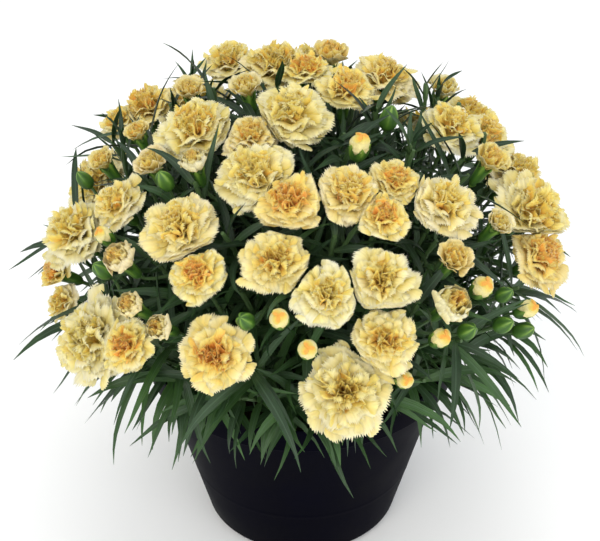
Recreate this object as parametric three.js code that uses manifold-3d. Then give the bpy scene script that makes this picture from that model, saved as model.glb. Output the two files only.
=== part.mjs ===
// A pot carnation (dianthus) in flower: a black plastic pot, its soil, twelve plants that each rise
// from a hole in the soil and fork into leafy stems, and the open blooms that sit on those stems.
// Millimetres, +Z up, the origin at the middle of the pot's underside, the front along -Y.

import * as THREE from 'three';
import { mergeVertices } from 'three/addons/utils/BufferGeometryUtils.js';
import Module from 'manifold-3d';

const wasm = await Module();
wasm.setup();

// ---------------------------------------------------------------- driving dimensions

const GAP = 0.3; // between two pieces that touch

const pot = {
  height: 115,
  baseRadius: 52.5, // where the wall's slant would meet the ground
  footBevel: 4,
  bandZ: 100.5, // lower edge of the rim band
  neckRadius: 79.6, // wall just under the band
  rimRadius: 85.6,
  bandTaper: 1, // how much narrower the band is at its lower edge
  lip: 1, // bevel along the rim
  wall: 1.5,
  floorRadius: 47.5, // flat part of the floor, inside
  floorBevel: 3,
  drainRadius: 4.5,
  drainRing: 34, // from the middle to each drain hole
  drains: 4,
  drainSides: 6,
  sides: 24,
};

const soil = {
  top: 99,
  footRadius: 46.5,
  footBevel: 4,
  edgeDrop: 2.5, // how much lower it lies along the wall
  lump: 1.6, // how far it is uneven up and down
  lumpRing: 0.62, // where it is uneven, as a share of its width
  sides: 12,
};

// The flowers stand on a dome: a spheroid over the middle of the pot.
const dome = { radius: 132, height: 88, middle: 175 };

// Degrees that a flower faces up at the dome's widest, and more for each degree of lift.
const flowerTilt = { level: 36, perLift: 0.6 };

// Where a plant's stems meet, half in the soil, in a hole that is a little wider.
const crown = { radius: 7, depth: 14, rise: 3, spread: 4, hole: 7.5, sides: 4 };

const stemRadius = 1.15;
const nodeLength = 2.6; // the stretch of stem that a pair of leaves grows from
const shootTip = 3;

const calyx = { length: 13, foot: 2.8, mouth: 4.3, notch: 2.4, slimmest: 2.5 };
const openingCalyx = { foot: 2.6, mouth: 3.9 };
const calyxFoot = 0.8; // how far down a calyx is widest again, as a share of its length

// Leaves: thickness at the keel, angle to the stem, how much they turn outward at each bend. A leaf
// that is longer than longFrom bends twice, a shorter one once.
const leaf = { keel: 1.15, splay: 52, turn: 0.12, longFrom: 50 };
const LONG_LEAF = { parts: [0.3, 0.38, 0.32], halfWidths: [1, 2.8, 2.1, 0.5] };
const SHORT_LEAF = { parts: [0.45, 0.55], halfWidths: [1, 2.24, 0.5] };

// Open blooms: bearing round the pot in degrees from the front, positive to the right; lift up the
// dome in degrees, 0 at its widest and 90 at its top; width across; how far out of the dome.
const BLOOMS = [
  // top and upper left
  [-24, 84, 42, 2], [-52, 75, 28, -5], [-80, 65, 40, 0], [-22, 62, 41, 2], [-5, 56, 36, 3],
  [-124, 38, 32, 0], [-117, 32, 24, 2], [-153, 50, 33, 6], [-166, 63, 39, 2], [178, 68, 28, 0],
  // upper right
  [132, 76, 32, 0], [138, 60, 34, 2], [19, 57, 35, 2], [27, 49, 26, 2], [41, 57, 26, -1],
  [50, 46, 35, 2], [96, 53, 34, 0], [103, 40, 31, 0], [81, 23, 47, 3], [74, 11, 36, 1],
  // left side
  [-73, 22, 38, 2], [-66, 38, 28, -1], [-38, 43, 38, 1], [-27, 33, 27, 0], [-80, -1, 22, 2],
  [-75, -9, 22, 2], [-53, -2, 45, 3], [-41, 4, 27, 1], [-19, 11, 33, 0],
  // front
  [-7, 40, 33, 0], [6, 31, 32, 1], [20, 33, 34, 2], [18, 16, 32, 1], [9, 1, 42, 2],
  // back
  [178, 40, 40, 0], [154, 36, 38, 0], [-148, 24, 42, 0], [126, 28, 38, 0], [171, 16, 42, 0],
  [144, 9, 38, 0], [112, 12, 40, 0], [-172, -3, 38, 0], [-116, 4, 40, 0], [-144, -5, 36, 0],
];

// Flowers that are only half open, on side stems: bearing, lift, width.
const OPENING = [
  [168, 56, 20], [116, 65, 17], [-104, 71, 17], [-82, 78, 16], [41, 39, 18], [90, 38, 18],
  [60, 33, 14], [-46, 31, 17], [40, 24, 20], [-84, 40, 14], [-88, 51, 13], [-67, 56, 17],
  [-47, 59, 14], [-31, 7, 14], [-40, 18, 14],
];

// Buds on side stems: bearing, lift, width, and whether colour shows at the tip.
const BUDS = [
  [-5, 24, 9, true], [2, 13, 9, true], [19, 3, 8, true], [31, 26, 10, true], [32, 15, 9, true],
  [57, 5, 9, true], [-57, 30, 8, true], [34, 68, 10, true],
  [75, 70, 10, false], [51, 15, 8, false], [49, 6, 9, false], [58, -4, 9, false],
  [38, 11, 9, false], [-27, 17, 9, false], [-53, 22, 9, false], [-54, 51, 9, false],
  [-84, 32, 8, false],
];

// Where each plant comes out of the soil: bearing, distance from the middle, and the lift of the
// part of the dome that it fills.
const PLANTS = [
  [0, 0, 90],
  [-50, 28, 56], [50, 28, 56], [140, 28, 56], [-130, 28, 56],
  [0, 56, 12], [52, 56, 12], [103, 56, 12], [154, 56, 12], [-154, 56, 12], [-103, 56, 12], [-52, 56, 12],
];

// Leafy side shoots of a plant: bearing from the plant's own, lift, reach as a share of the dome's
// radius, and the length of the lowest leaves. The outer plants' low shoots make the skirt.
const OUTER_SHOOTS = [
  [-17, -20, 0.86, 72], [0, -24, 0.84, 76], [17, -20, 0.86, 72], [-12, 2, 0.92, 64], [13, 4, 0.92, 64],
];
const INNER_SHOOTS = [[-26, 50, 0.92, 56], [24, 44, 0.92, 58]];
const TOP_SHOOTS = [[40, 72, 0.95, 46], [-140, 70, 0.95, 46]];

// Leaf pairs: where they grow along a stem, their lengths, and how much they droop.
const flowerLeaves = { shares: [0.7], lengths: [46], droop: 0.22 };
const shootLeaves = { shares: [0.45, 0.72, 0.96], lengths: [1, 0.94, 0.8], droop: 0.2, lowDroop: 0.42 };

// ---------------------------------------------------------------- small tools

const X = new THREE.Vector3(1, 0, 0);
const Z = new THREE.Vector3(0, 0, 1);
const radians = THREE.MathUtils.degToRad;

/** A seeded stream of numbers between 0 and 1. */
function stream(seed) {
  let state = (seed * 7919 + 12345) % 4294967296;
  return () => {
    state = (state * 1664525 + 1013904223) % 4294967296;
    return state / 4294967296;
  };
}

/** The level direction of a bearing: 0 is the front, positive turns to the right. */
function outward(bearing) {
  return new THREE.Vector3(Math.sin(radians(bearing)), -Math.cos(radians(bearing)), 0);
}

/** The direction of a bearing that climbs by some degrees. */
function climbing(bearing, degrees) {
  return outward(bearing)
    .multiplyScalar(Math.cos(radians(degrees)))
    .setZ(Math.sin(radians(degrees)));
}

/** The point of the dome at a bearing and a lift, pushed out by some millimetres. */
function onDome(bearing, lift, out = 0) {
  const { x, y, z } = climbing(bearing, lift);
  const wide = dome.radius + out;
  return new THREE.Vector3(x * wide, y * wide, z * (dome.height + out) + dome.middle);
}

/** The way a flower faces: tipped up, more so the higher it stands. */
function facing(bearing, lift) {
  return climbing(bearing, flowerTilt.level + flowerTilt.perLift * lift);
}

/** Two directions square to an axis and to each other. */
function sides(axis) {
  const across = new THREE.Vector3().crossVectors(Z, axis);
  if (across.length() < 0.05) across.copy(X);
  across.normalize();
  return [across, new THREE.Vector3().crossVectors(axis, across).normalize()];
}

/** start + a * first + b * second, and so on, for any number of vectors. */
function blend(start, ...terms) {
  const sum = start.clone();
  for (const [vector, share] of terms) sum.addScaledVector(vector, share);
  return sum;
}

/** A direction at an angle between two that are square to each other. */
function between(u, v, angle) {
  return blend(new THREE.Vector3(), [u, Math.cos(angle)], [v, Math.sin(angle)]);
}

function numbered(name, index) {
  return `${name}_${String(index + 1).padStart(2, '0')}`;
}

/** A closed surface that is raised ring by ring. Rings run anticlockwise seen from their far end. */
class Skin {
  constructor() {
    this.points = [];
    this.faces = [];
  }

  point(p) {
    this.points.push(p.x, p.y, p.z);
    return this.points.length / 3 - 1;
  }

  ring(places) {
    return places.map((p) => this.point(p));
  }

  face(a, b, c) {
    this.faces.push(a, b, c);
  }

  quad(a, b, c, d) {
    this.face(a, b, c);
    this.face(a, c, d);
  }

  /** Joins two rings, which may differ in their number of points. */
  bridge(low, high) {
    let i = 0;
    let j = 0;
    while (i < low.length || j < high.length) {
      const a = low[i % low.length];
      const b = high[j % high.length];
      if (j >= high.length || (i < low.length && (i + 1) / low.length <= (j + 1) / high.length)) {
        i += 1;
        this.face(a, low[i % low.length], b);
      } else {
        j += 1;
        this.face(a, high[j % high.length], b);
      }
    }
  }

  /** Joins a row of rings, each to the next, and returns the last. */
  bridgeAll(rings) {
    return rings.reduce((low, high) => {
      this.bridge(low, high);
      return high;
    });
  }

  closeStart(ring) {
    for (let i = 1; i < ring.length - 1; i += 1) this.face(ring[0], ring[i + 1], ring[i]);
  }

  closeEnd(ring, tip) {
    const top = this.point(tip);
    ring.forEach((a, i) => this.face(a, ring[(i + 1) % ring.length], top));
  }

  geometry() {
    const made = new THREE.BufferGeometry();
    made.setAttribute('position', new THREE.Float32BufferAttribute(this.points, 3));
    made.setIndex(this.faces);
    return made;
  }
}

/** A ring of points round an axis: shape(index) gives [radius, rise] for each point. */
function around(centre, axis, count, shape, turn = 0) {
  const [u, v] = sides(axis);
  return Array.from({ length: count }, (_, i) => {
    const [radius, rise] = shape(i);
    return blend(centre, [between(u, v, 2 * Math.PI * (i / count) + turn), radius], [axis, rise]);
  });
}

function solid(geometry) {
  const bare = geometry.clone();
  bare.deleteAttribute('normal');
  bare.deleteAttribute('uv');
  const merged = mergeVertices(bare, 1e-4);
  return new wasm.Manifold(
    new wasm.Mesh({
      numProp: 3,
      vertProperties: new Float32Array(merged.attributes.position.array),
      triVerts: new Uint32Array(merged.index.array),
    }),
  );
}

/** A solid's mesh, without the edges that are shorter than the tolerance. */
function fromSolid(body, tolerance = 0.02) {
  const mesh = body.simplify(tolerance).getMesh();
  const made = new THREE.BufferGeometry();
  made.setAttribute('position', new THREE.BufferAttribute(new Float32Array(mesh.vertProperties), 3));
  made.setIndex(new THREE.BufferAttribute(new Uint32Array(mesh.triVerts), 1));
  return made;
}

/** An upright post on a point, from one height over it to another. */
function post(foot, radius, low, high, count) {
  const skin = new Skin();
  const rings = [low, high].map((z) => skin.ring(around(foot, Z, count, () => [radius, z])));
  skin.closeStart(rings[0]);
  skin.closeEnd(skin.bridgeAll(rings), blend(foot, [Z, high]));
  return skin.geometry();
}

// ---------------------------------------------------------------- pot and soil

const floorCorner = pot.wall + pot.floorBevel;
const ledge = pot.bandZ + pot.wall; // inside the pot, where the band steps out

/** The pot wall's outer radius at a height under the rim band. */
function wallRadius(z) {
  return THREE.MathUtils.mapLinear(z, 0, pot.bandZ, pot.baseRadius, pot.neckRadius);
}

/** The pot wall's inner radius at a height between its floor and the rim band. */
function innerRadius(z) {
  const low = wallRadius(floorCorner) - pot.wall;
  return THREE.MathUtils.mapLinear(z, floorCorner, ledge, low, pot.neckRadius - pot.wall);
}

function makePot() {
  const { wall, height, bandZ, neckRadius, rimRadius, bandTaper, lip } = pot;
  const profile = [
    [0, 0],
    [pot.baseRadius - pot.footBevel, 0],
    [wallRadius(pot.footBevel), pot.footBevel],
    [neckRadius, bandZ],
    [rimRadius - bandTaper, bandZ],
    [rimRadius, height - lip],
    [rimRadius - lip / 2, height],
    [rimRadius - wall, height],
    [rimRadius - bandTaper - wall, ledge],
    [innerRadius(ledge), ledge],
    [innerRadius(floorCorner), floorCorner],
    [pot.floorRadius, wall],
    [0, wall],
  ].map(([radius, z]) => new THREE.Vector2(radius, z));
  let body = solid(new THREE.LatheGeometry(profile, pot.sides).rotateX(Math.PI / 2));
  for (let i = 0; i < pot.drains; i += 1) {
    const spot = outward((360 * (i + 0.5)) / pot.drains).multiplyScalar(pot.drainRing);
    body = body.subtract(solid(post(spot, pot.drainRadius, -1, wall + 1, pot.drainSides)));
  }
  return fromSolid(body);
}

/** The foot of each plant, on the soil's surface. */
function plantFoot([bearing, distance]) {
  return outward(bearing).multiplyScalar(distance).setZ(soil.top);
}

function makeSoil() {
  const floor = pot.wall + GAP;
  const draw = stream(3);
  const skin = new Skin();
  const level = (radius, z, rise = () => 0) =>
    skin.ring(around(new THREE.Vector3(0, 0, z), Z, soil.sides, () => [radius, rise()]));
  const alongWall = (z) => level(innerRadius(z) - GAP, z);
  const rings = [
    level(soil.footRadius, floor),
    alongWall(floor + soil.footBevel),
    alongWall(soil.top - soil.edgeDrop),
    level(
      (innerRadius(soil.top) - GAP) * soil.lumpRing,
      soil.top,
      () => (draw() - 0.5) * 2 * soil.lump,
    ),
  ];
  skin.closeStart(rings[0]);
  skin.closeEnd(skin.bridgeAll(rings), new THREE.Vector3(0, 0, soil.top));
  let body = solid(skin.geometry());
  for (const plant of PLANTS) {
    const low = -crown.depth - GAP;
    body = body.subtract(solid(post(plantFoot(plant), crown.hole, low, crown.rise, crown.sides)));
  }
  return fromSolid(body);
}

// ---------------------------------------------------------------- blooms

// An open bloom. Lengths are shares of its radius, unless they are given in millimetres.
const bloomForm = {
  seat: 0.6, // from its middle down to its calyx
  heart: 0.96, // rise of its middle petals over the calyx
  neck: 2.8, // millimetres
  neckSides: 5,
  uneven: 0.1, // how much the petals differ in reach
  pressed: 0.12, // the least width that its neighbours leave it
  swing: 16, // degrees that it may face aside
  nod: 14, // degrees that it may face up or down
  sectors: 10,
  wideSectors: 12,
  wideFrom: 19, // millimetres: a bloom with a larger radius has more sectors
};

const blooms = BLOOMS.map(([bearing, lift, across, out], index) => {
  const seed = 100 + index;
  const draw = stream(seed);
  const aside = (draw() - 0.5) * bloomForm.swing;
  const axis = facing(bearing + aside, lift + (draw() - 0.5) * bloomForm.nod);
  const radius = across / 2;
  const middle = onDome(bearing, lift, out);
  const base = blend(middle, [axis, -bloomForm.seat * radius]);
  return { seed, radius, axis, middle, base, name: numbered('bloom', index) };
});

/** The planes where neighbouring blooms press on this one. */
function pressures(bloom) {
  return blooms
    .filter((other) => other !== bloom)
    .map((other) => {
      const toward = other.middle.clone().sub(bloom.middle);
      const apart = toward.length();
      const span = bloom.radius + other.radius;
      const reach = (apart * bloom.radius) / span - GAP / 2;
      return { normal: toward.normalize(), reach, near: apart < span * 1.25 };
    })
    .filter(({ near }) => near);
}

// Petal layers from the outside in: share of the radius, rise as a share of the radius, how deep
// the notches between the petal tips are, and how far the edge waves up and down.
const PETAL_RINGS = [
  { reach: 1.07, rise: 0.4, notch: 0.15, wave: 0.1 },
  { reach: 0.7, rise: 0.5, notch: 0.04, wave: 0.02 },
  { reach: 0.92, rise: 0.86, notch: 0.15, wave: 0.09 },
  { reach: 0.46, rise: 0.78, notch: 0.04, wave: 0.02 },
  { reach: 0.6, rise: 1.16, notch: 0.17, wave: 0.07 },
];

/** How much of its reach a sector of a bloom keeps between the planes that press on it. */
function pressedShare(bloom, way, sector, planes) {
  let kept = 1;
  for (const { normal, reach } of planes) {
    const slope = way.dot(normal);
    if (slope < 0.02) continue;
    for (const { share, rise } of sector) {
      const onAxis = blend(bloom.base, [bloom.axis, rise * bloom.radius]).sub(bloom.middle);
      kept = Math.min(kept, (reach - onAxis.dot(normal)) / (slope * share * bloom.radius));
    }
  }
  return Math.max(kept, bloomForm.pressed);
}

function makeBloom(bloom) {
  const { base, axis, radius } = bloom;
  const draw = stream(bloom.seed);
  const sectors = radius > bloomForm.wideFrom ? bloomForm.wideSectors : bloomForm.sectors;
  const [u, v] = sides(axis);
  const turn = draw() * 2 * Math.PI;
  const layers = PETAL_RINGS.map(({ reach, rise, notch, wave }, layer) =>
    Array.from({ length: sectors }, (_, i) => {
      const tip = (i + Math.ceil(layer / 2)) % 2 === 0;
      const share = reach * (tip ? 1 : 1 - notch) * (1 + (draw() - 0.5) * bloomForm.uneven);
      return { share, rise: rise + (tip ? 1 : -1) * wave * (0.4 + 0.6 * draw()) };
    }),
  );
  const planes = pressures(bloom);
  const kept = Array.from({ length: sectors }, (_, i) => {
    const way = between(u, v, turn + (2 * Math.PI * i) / sectors);
    return pressedShare(bloom, way, layers.map((layer) => layer[i]), planes);
  });
  const skin = new Skin();
  const neck = skin.ring(
    around(base, axis, bloomForm.neckSides, () => [bloomForm.neck, 0], turn),
  );
  skin.closeStart(neck);
  const rings = layers.map((layer) => {
    const shape = (i) => [layer[i].share * radius * kept[i], layer[i].rise * radius];
    return skin.ring(around(base, axis, sectors, shape, turn));
  });
  skin.closeEnd(skin.bridgeAll([neck, ...rings]), blend(base, [axis, bloomForm.heart * radius]));
  return skin.geometry();
}

// ---------------------------------------------------------------- room for stems and leaves

const CELL = 24; // wider than any two balls and the space that is asked for between them

// The egg round a bloom that stems and leaves keep out of, in shares of its radius.
const bloomRoom = { wide: 1.1, tall: 0.66, middle: 0.64, margin: 0.5 };

// The space that they leave over and beside the rim, inside it, and over the soil.
const potRoom = { over: 1, beside: 1, inside: 4, soil: 2.5 };

/** Keeps what has been placed, so that what comes later is bent clear of it. */
class Room {
  constructor() {
    this.cells = new Map();
  }

  cell(at, dx = 0, dy = 0, dz = 0) {
    const step = (value, shift) => Math.floor(value / CELL) + shift + 64;
    return (step(at.x, dx) * 128 + step(at.y, dy)) * 128 + step(at.z, dz);
  }

  /** Adds balls: { at, radius, stem, plant }. */
  add(balls) {
    for (const ball of balls) {
      const key = this.cell(ball.at);
      if (!this.cells.has(key)) this.cells.set(key, []);
      this.cells.get(key).push(ball);
    }
  }

  remove(stem) {
    for (const [key, balls] of this.cells) {
      this.cells.set(key, balls.filter((ball) => ball.stem !== stem));
    }
  }

  * near(at) {
    for (const dx of [-1, 0, 1]) {
      for (const dy of [-1, 0, 1]) {
        for (const dz of [-1, 0, 1]) yield* this.cells.get(this.cell(at, dx, dy, dz)) ?? [];
      }
    }
  }

  inBloom(at, radius, own) {
    return blooms.some((bloom) => {
      if (bloom === own) return false;
      const away = at.clone().sub(bloom.base);
      const rise = away.dot(bloom.axis);
      const reach = Math.sqrt(Math.max(0, away.lengthSq() - rise * rise));
      const wide = bloom.radius * bloomRoom.wide + radius;
      const tall = bloom.radius * bloomRoom.tall + radius;
      return (reach / wide) ** 2 + ((rise - bloom.radius * bloomRoom.middle) / tall) ** 2 < 1;
    });
  }

  inPot(at, radius) {
    const reach = Math.hypot(at.x, at.y);
    if (at.z - radius > pot.height + potRoom.over) return false;
    if (reach - radius > pot.rimRadius + potRoom.beside) return false;
    const overSoil = at.z - radius - soil.top;
    return reach + radius > pot.rimRadius - potRoom.inside || overSoil < potRoom.soil;
  }

  /** How far the balls are from all that is placed, up to 1; negative where they would touch. */
  clearance(balls, own) {
    let least = 1;
    for (const ball of balls) {
      if (this.inBloom(ball.at, ball.radius + bloomRoom.margin, own)) return -100;
      if (ball.nearFoot !== true && this.inPot(ball.at, ball.radius)) return -100;
      for (const other of this.near(ball.at)) {
        if (ball.skipStem !== undefined && other.stem === ball.skipStem) continue;
        if (ball.skipPlant !== undefined && other.plant === ball.skipPlant) continue;
        const space = ball.at.distanceTo(other.at) - ball.radius - other.radius;
        if (space < least) least = space;
      }
    }
    return least;
  }
}

const room = new Room();

/** Balls along a broken line, with the radius given at each of its points. */
function ballsAlong(line, radii, tags, step = 3) {
  const balls = [];
  let travelled = 0;
  for (let i = 1; i < line.length; i += 1) {
    const length = line[i - 1].distanceTo(line[i]);
    const count = Math.max(1, Math.ceil(length / step));
    for (let k = i === 1 ? 0 : 1; k <= count; k += 1) {
      const share = k / count;
      balls.push({
        at: line[i - 1].clone().lerp(line[i], share),
        radius: radii[i - 1] + (radii[i] - radii[i - 1]) * share,
        along: travelled + length * share,
        ...tags,
      });
    }
    travelled += length;
  }
  return balls;
}

// ---------------------------------------------------------------- stems

// How a stem finds its way: tries, how much more it bends with each, how far its ends pull on it as
// a share of its span, the space that is enough, and the length near its foot that may touch the pot.
const route = { tries: 60, bend: 0.02, pull: 0.3, pullMore: 0.12, enough: 0.6, foot: 18 };

// How far along a stem the last pair of leaves may end, and from where it needs no further point.
const stemEnd = { lastNode: 0.995, nearEnd: 0.96 };

/** A cubic curve that leaves one point along a direction and arrives at another along its own. */
function curveBetween(start, leaving, end, arriving, pull) {
  const span = start.distanceTo(end) * pull;
  return new THREE.CubicBezierCurve3(
    start,
    blend(start, [leaving, span]),
    blend(end, [arriving, -span]),
    end,
  );
}

/** The points of a stem: its two ends, and the two ends of each stretch that leaves grow from. */
function stations(curve, leafShares) {
  const step = nodeLength / curve.getLength();
  const shares = [0];
  if (leafShares.length === 0) shares.push(0.5);
  for (const share of leafShares) shares.push(share, Math.min(stemEnd.lastNode, share + step));
  if (shares.at(-1) < stemEnd.nearEnd) shares.push(1);
  return shares.map((share) => curve.getPoint(share));
}

/** Directions square to the stem at each of its points, carried along it without a twist. */
function framesAlong(line, seed) {
  const [across, over] = sides(line[1].clone().sub(line[0]).normalize());
  let u = between(across, over, stream(seed)() * Math.PI);
  return line.map((at, i) => {
    const before = line[Math.max(0, i - 1)];
    const after = line[Math.min(line.length - 1, i + 1)];
    const axis = after.clone().sub(before).normalize();
    u = blend(u, [axis, -u.dot(axis)]).normalize();
    return { at, axis, u: u.clone(), v: new THREE.Vector3().crossVectors(axis, u) };
  });
}

let stemCount = 0;

/** Finds a route that is clear of everything placed so far, bending more with each try. */
function findRoute({ plant, start, leaving, end, arriving, leafShares, own, joined }) {
  stemCount += 1;
  const id = stemCount;
  const draw = stream(1000 + id);
  let best = null;
  for (let attempt = 0; attempt < route.tries; attempt += 1) {
    const turned = (way) =>
      new THREE.Vector3()
        .set(draw() - 0.5, draw() - 0.5, draw() - 0.5)
        .multiplyScalar(attempt * route.bend)
        .add(way)
        .normalize();
    const arrival = own ? arriving : turned(arriving);
    const pull = route.pull + route.pullMore * draw();
    const curve = curveBetween(start, turned(leaving), end, arrival, pull);
    const line = stations(curve, leafShares);
    const balls = ballsAlong(line, line.map(() => stemRadius), { stem: id, plant });
    for (const ball of balls) {
      if (ball.along < route.foot) ball.nearFoot = true;
      if (ball.along < joined) ball.skipPlant = plant;
    }
    const space = room.clearance(balls, own);
    if (best === null || space > best.space) best = { space, line, balls, curve };
    if (space > route.enough) break;
  }
  room.add(best.balls);
  return { id, plant, leafShares, frames: framesAlong(best.line, 5000 + id), forks: [], ...best };
}

/** The plant whose part of the dome holds a place. */
function plantFor(bearing, lift) {
  const way = climbing(bearing, lift);
  const apart = PLANTS.map(([plantBearing, , plantLift]) =>
    climbing(plantBearing, plantLift).distanceTo(way),
  );
  return apart.indexOf(Math.min(...apart));
}

// A stem leans away from its crown, up to `lean`, the further the place that it grows to is, and it
// may touch its own plant up to `joined`.
const fromCrown = { lean: 0.9, fullLean: 90, joined: 22 };

/** A stem that rises from its plant's crown. */
function stemFromCrown(plant, end, arriving, leafShares, own) {
  const foot = plantFoot(PLANTS[plant]);
  const toward = end.clone().sub(foot).setZ(0);
  const level = toward.length();
  if (level > 1) toward.divideScalar(level);
  const slant = Math.atan2(level, end.z - foot.z);
  const start = blend(foot, [toward, crown.spread * Math.sin(slant)], [Z, 1]);
  const lean = Math.min(fromCrown.lean, level / fromCrown.fullLean);
  const leaving = blend(Z, [toward, lean]).normalize();
  return findRoute({
    plant, start, leaving, end, arriving, leafShares, own, joined: fromCrown.joined,
  });
}

// A side stem forks from a flower stem at one of these shares, once at each. Of all of them it takes
// the nearest one that it can go on climbing from, but none that is too near.
const fork = {
  shares: [0.5, 0.58, 0.66, 0.86],
  tooNear: 18,
  penalty: 60,
  level: 1.6,
  turn: 0.9,
  joined: 9, // how far along it may touch its own plant
};

/** A side stem that forks from a stem that already stands. */
function stemFromFork(parents, end, arriving) {
  let best = null;
  for (const parent of parents) {
    for (const share of fork.shares.filter((each) => !parent.forks.includes(each))) {
      const at = parent.curve.getPoint(share);
      const away = end.clone().sub(at);
      const far = away.length();
      const climb = away.dot(parent.curve.getTangent(share)) / far;
      const cost = far * (fork.level - climb) + (far < fork.tooNear ? fork.penalty : 0);
      if (best === null || cost < best.cost) best = { cost, at, parent, share };
    }
  }
  const { at, parent, share } = best;
  parent.forks.push(share);
  const aside = end.clone().sub(at).normalize();
  const leaving = blend(parent.curve.getTangent(share), [aside, fork.turn]).normalize();
  const { plant } = parent;
  return findRoute({
    plant, start: at, leaving, end, arriving, leafShares: [], joined: fork.joined,
  });
}

// ---------------------------------------------------------------- leaves

// How a leaf finds its way: tries, how far it bends aside at first and more with each try, how much
// its length varies and shrinks, the space it asks for, and the lengths along it that may touch
// anything, are not kept as taken, and may touch its own stem.
const leafSearch = {
  tries: 10, bend: 0.25, bendMore: 0.09, shortest: 0.86, lengthMore: 0.28, shrink: 0.05,
  enough: 0.4, joined: 2.5, untaken: 3, besideStem: 8.5,
};

/** The middle line of a leaf: out from the stem, then arching over. */
function leafLine(foot, axis, side, length, droop, bend) {
  let way = between(axis, side, radians(leaf.splay)).add(bend).normalize();
  const line = [foot.clone()];
  const { parts } = length > leaf.longFrom ? LONG_LEAF : SHORT_LEAF;
  for (const part of parts) {
    line.push(blend(line.at(-1), [way, length * part]));
    way = blend(way, [Z, -droop], [side, leaf.turn]).normalize();
  }
  return line;
}

/** Finds a clear line for a leaf, or none. */
function findLeaf(stem, frame, side, length, droop, draw) {
  const foot = blend(frame.at, [side, stemRadius * 0.7], [frame.axis, nodeLength / 2]);
  for (let attempt = 0; attempt < leafSearch.tries; attempt += 1) {
    const bend = new THREE.Vector3(draw() - 0.5, draw() - 0.5, draw() - 0.5);
    bend.multiplyScalar(leafSearch.bend + attempt * leafSearch.bendMore);
    const varied = leafSearch.shortest + leafSearch.lengthMore * draw();
    const long = length * varied * (1 - leafSearch.shrink * attempt);
    const line = leafLine(foot, frame.axis, side, long, droop, bend);
    const { halfWidths } = long > leaf.longFrom ? LONG_LEAF : SHORT_LEAF;
    const balls = ballsAlong(line, halfWidths, { stem: stem.id, plant: stem.plant });
    const tested = balls.filter((ball) => ball.along > leafSearch.joined);
    for (const ball of tested) if (ball.along < leafSearch.besideStem) ball.skipStem = stem.id;
    if (room.clearance(tested) > leafSearch.enough) {
      room.add(balls.filter((ball) => ball.along > leafSearch.untaken));
      return { line, halfWidths };
    }
  }
  return null;
}

/** Raises a leaf from one face of the stem: low and high are that face's edges, left to right. */
function raiseLeaf(skin, [a, b], [d, c], { line, halfWidths }, stemAxis) {
  const rings = [];
  for (let i = 1; i < line.length - 1; i += 1) {
    const along = line[i + 1].clone().sub(line[i - 1]).normalize();
    const across = new THREE.Vector3().crossVectors(stemAxis, along).normalize();
    const down = new THREE.Vector3().crossVectors(across, along).normalize();
    if (down.dot(stemAxis) > 0) down.negate();
    rings.push(
      skin.ring([
        blend(line[i], [across, -halfWidths[i]]),
        blend(line[i], [across, halfWidths[i]]),
        blend(line[i], [down, leaf.keel]),
      ]),
    );
  }
  const [left, right, keel] = rings[0];
  skin.quad(d, left, right, c);
  skin.quad(c, right, keel, b);
  skin.quad(a, keel, left, d);
  skin.face(a, b, keel);
  for (let i = 1; i < rings.length; i += 1) {
    const [l0, r0, k0] = rings[i - 1];
    const [l1, r1, k1] = rings[i];
    skin.quad(l0, l1, r1, r0);
    skin.quad(r0, r1, k1, k0);
    skin.quad(k0, k1, l1, l0);
  }
  const [l, r, k] = rings.at(-1);
  skin.closeEnd([r, l, k], line.at(-1));
}

/** Finds the leaves of a stem, pair by pair, each pair turned a quarter from the last. */
function growLeaves(stem, lengths, droop) {
  const draw = stream(9000 + stem.id);
  stem.leafShares.forEach((_, pair) => {
    const station = 1 + pair * 2;
    const frame = stem.frames[station];
    const faces = pair % 2 === 0 ? [[0, frame.v], [2, frame.v]] : [[1, frame.u], [3, frame.u]];
    for (const [face, way] of faces) {
      const side = way.clone().multiplyScalar(face === 0 || face === 3 ? 1 : -1);
      const found = findLeaf(stem, frame, side, lengths[pair], droop, draw);
      if (found) stem.leaves.set(`${station}:${face}`, found);
    }
  });
}

// ---------------------------------------------------------------- what a stem ends in

/** Five-toothed calyx with a flat mouth for an open bloom to stand on. */
function endInCalyx(skin, last, base, axis) {
  const foot = skin.ring(around(base, axis, 5, () => [calyx.foot, -calyx.length * calyxFoot]));
  const mouth = skin.ring(
    around(base, axis, 10, (i) => [calyx.mouth, i % 2 === 0 ? -GAP : -calyx.notch]),
  );
  skin.closeEnd(skin.bridgeAll([last, foot, mouth]), blend(base, [axis, -GAP]));
}

// A half-open flower over its calyx: reach and rise as shares of half its width.
const openingForm = { tip: [1, 1.2], notch: [0.8, 0.9], heart: [0.45, 1.45], hollow: 1.25 };

/** Calyx with a tuft of petals that are still folding out. */
function endInOpening(skin, last, base, axis, width) {
  const scaled = (shape) => shape.map((share) => (share * width) / 2);
  const foot = () => [openingCalyx.foot, -calyx.length * calyxFoot];
  const rings = [
    around(base, axis, 5, foot),
    around(base, axis, 5, () => [openingCalyx.mouth, 0]),
    around(base, axis, 10, (i) => scaled(i % 2 ? openingForm.notch : openingForm.tip)),
    around(base, axis, 5, () => scaled(openingForm.heart)),
  ].map((places) => skin.ring(places));
  const hollow = blend(base, [axis, (openingForm.hollow * width) / 2]);
  skin.closeEnd(skin.bridgeAll([last, ...rings]), hollow);
}

// Buds: length as a share of half the width, and the reach of each ring and its place along the bud.
const greenBud = { long: 3.1, rings: [[0.6, 0.06], [1, 0.42], [0.6, 0.8]] };
const colouredBud = { long: 3.9, rings: [[0.6, 0.06], [1, 0.42], [0.74, 0.8]] };

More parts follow.
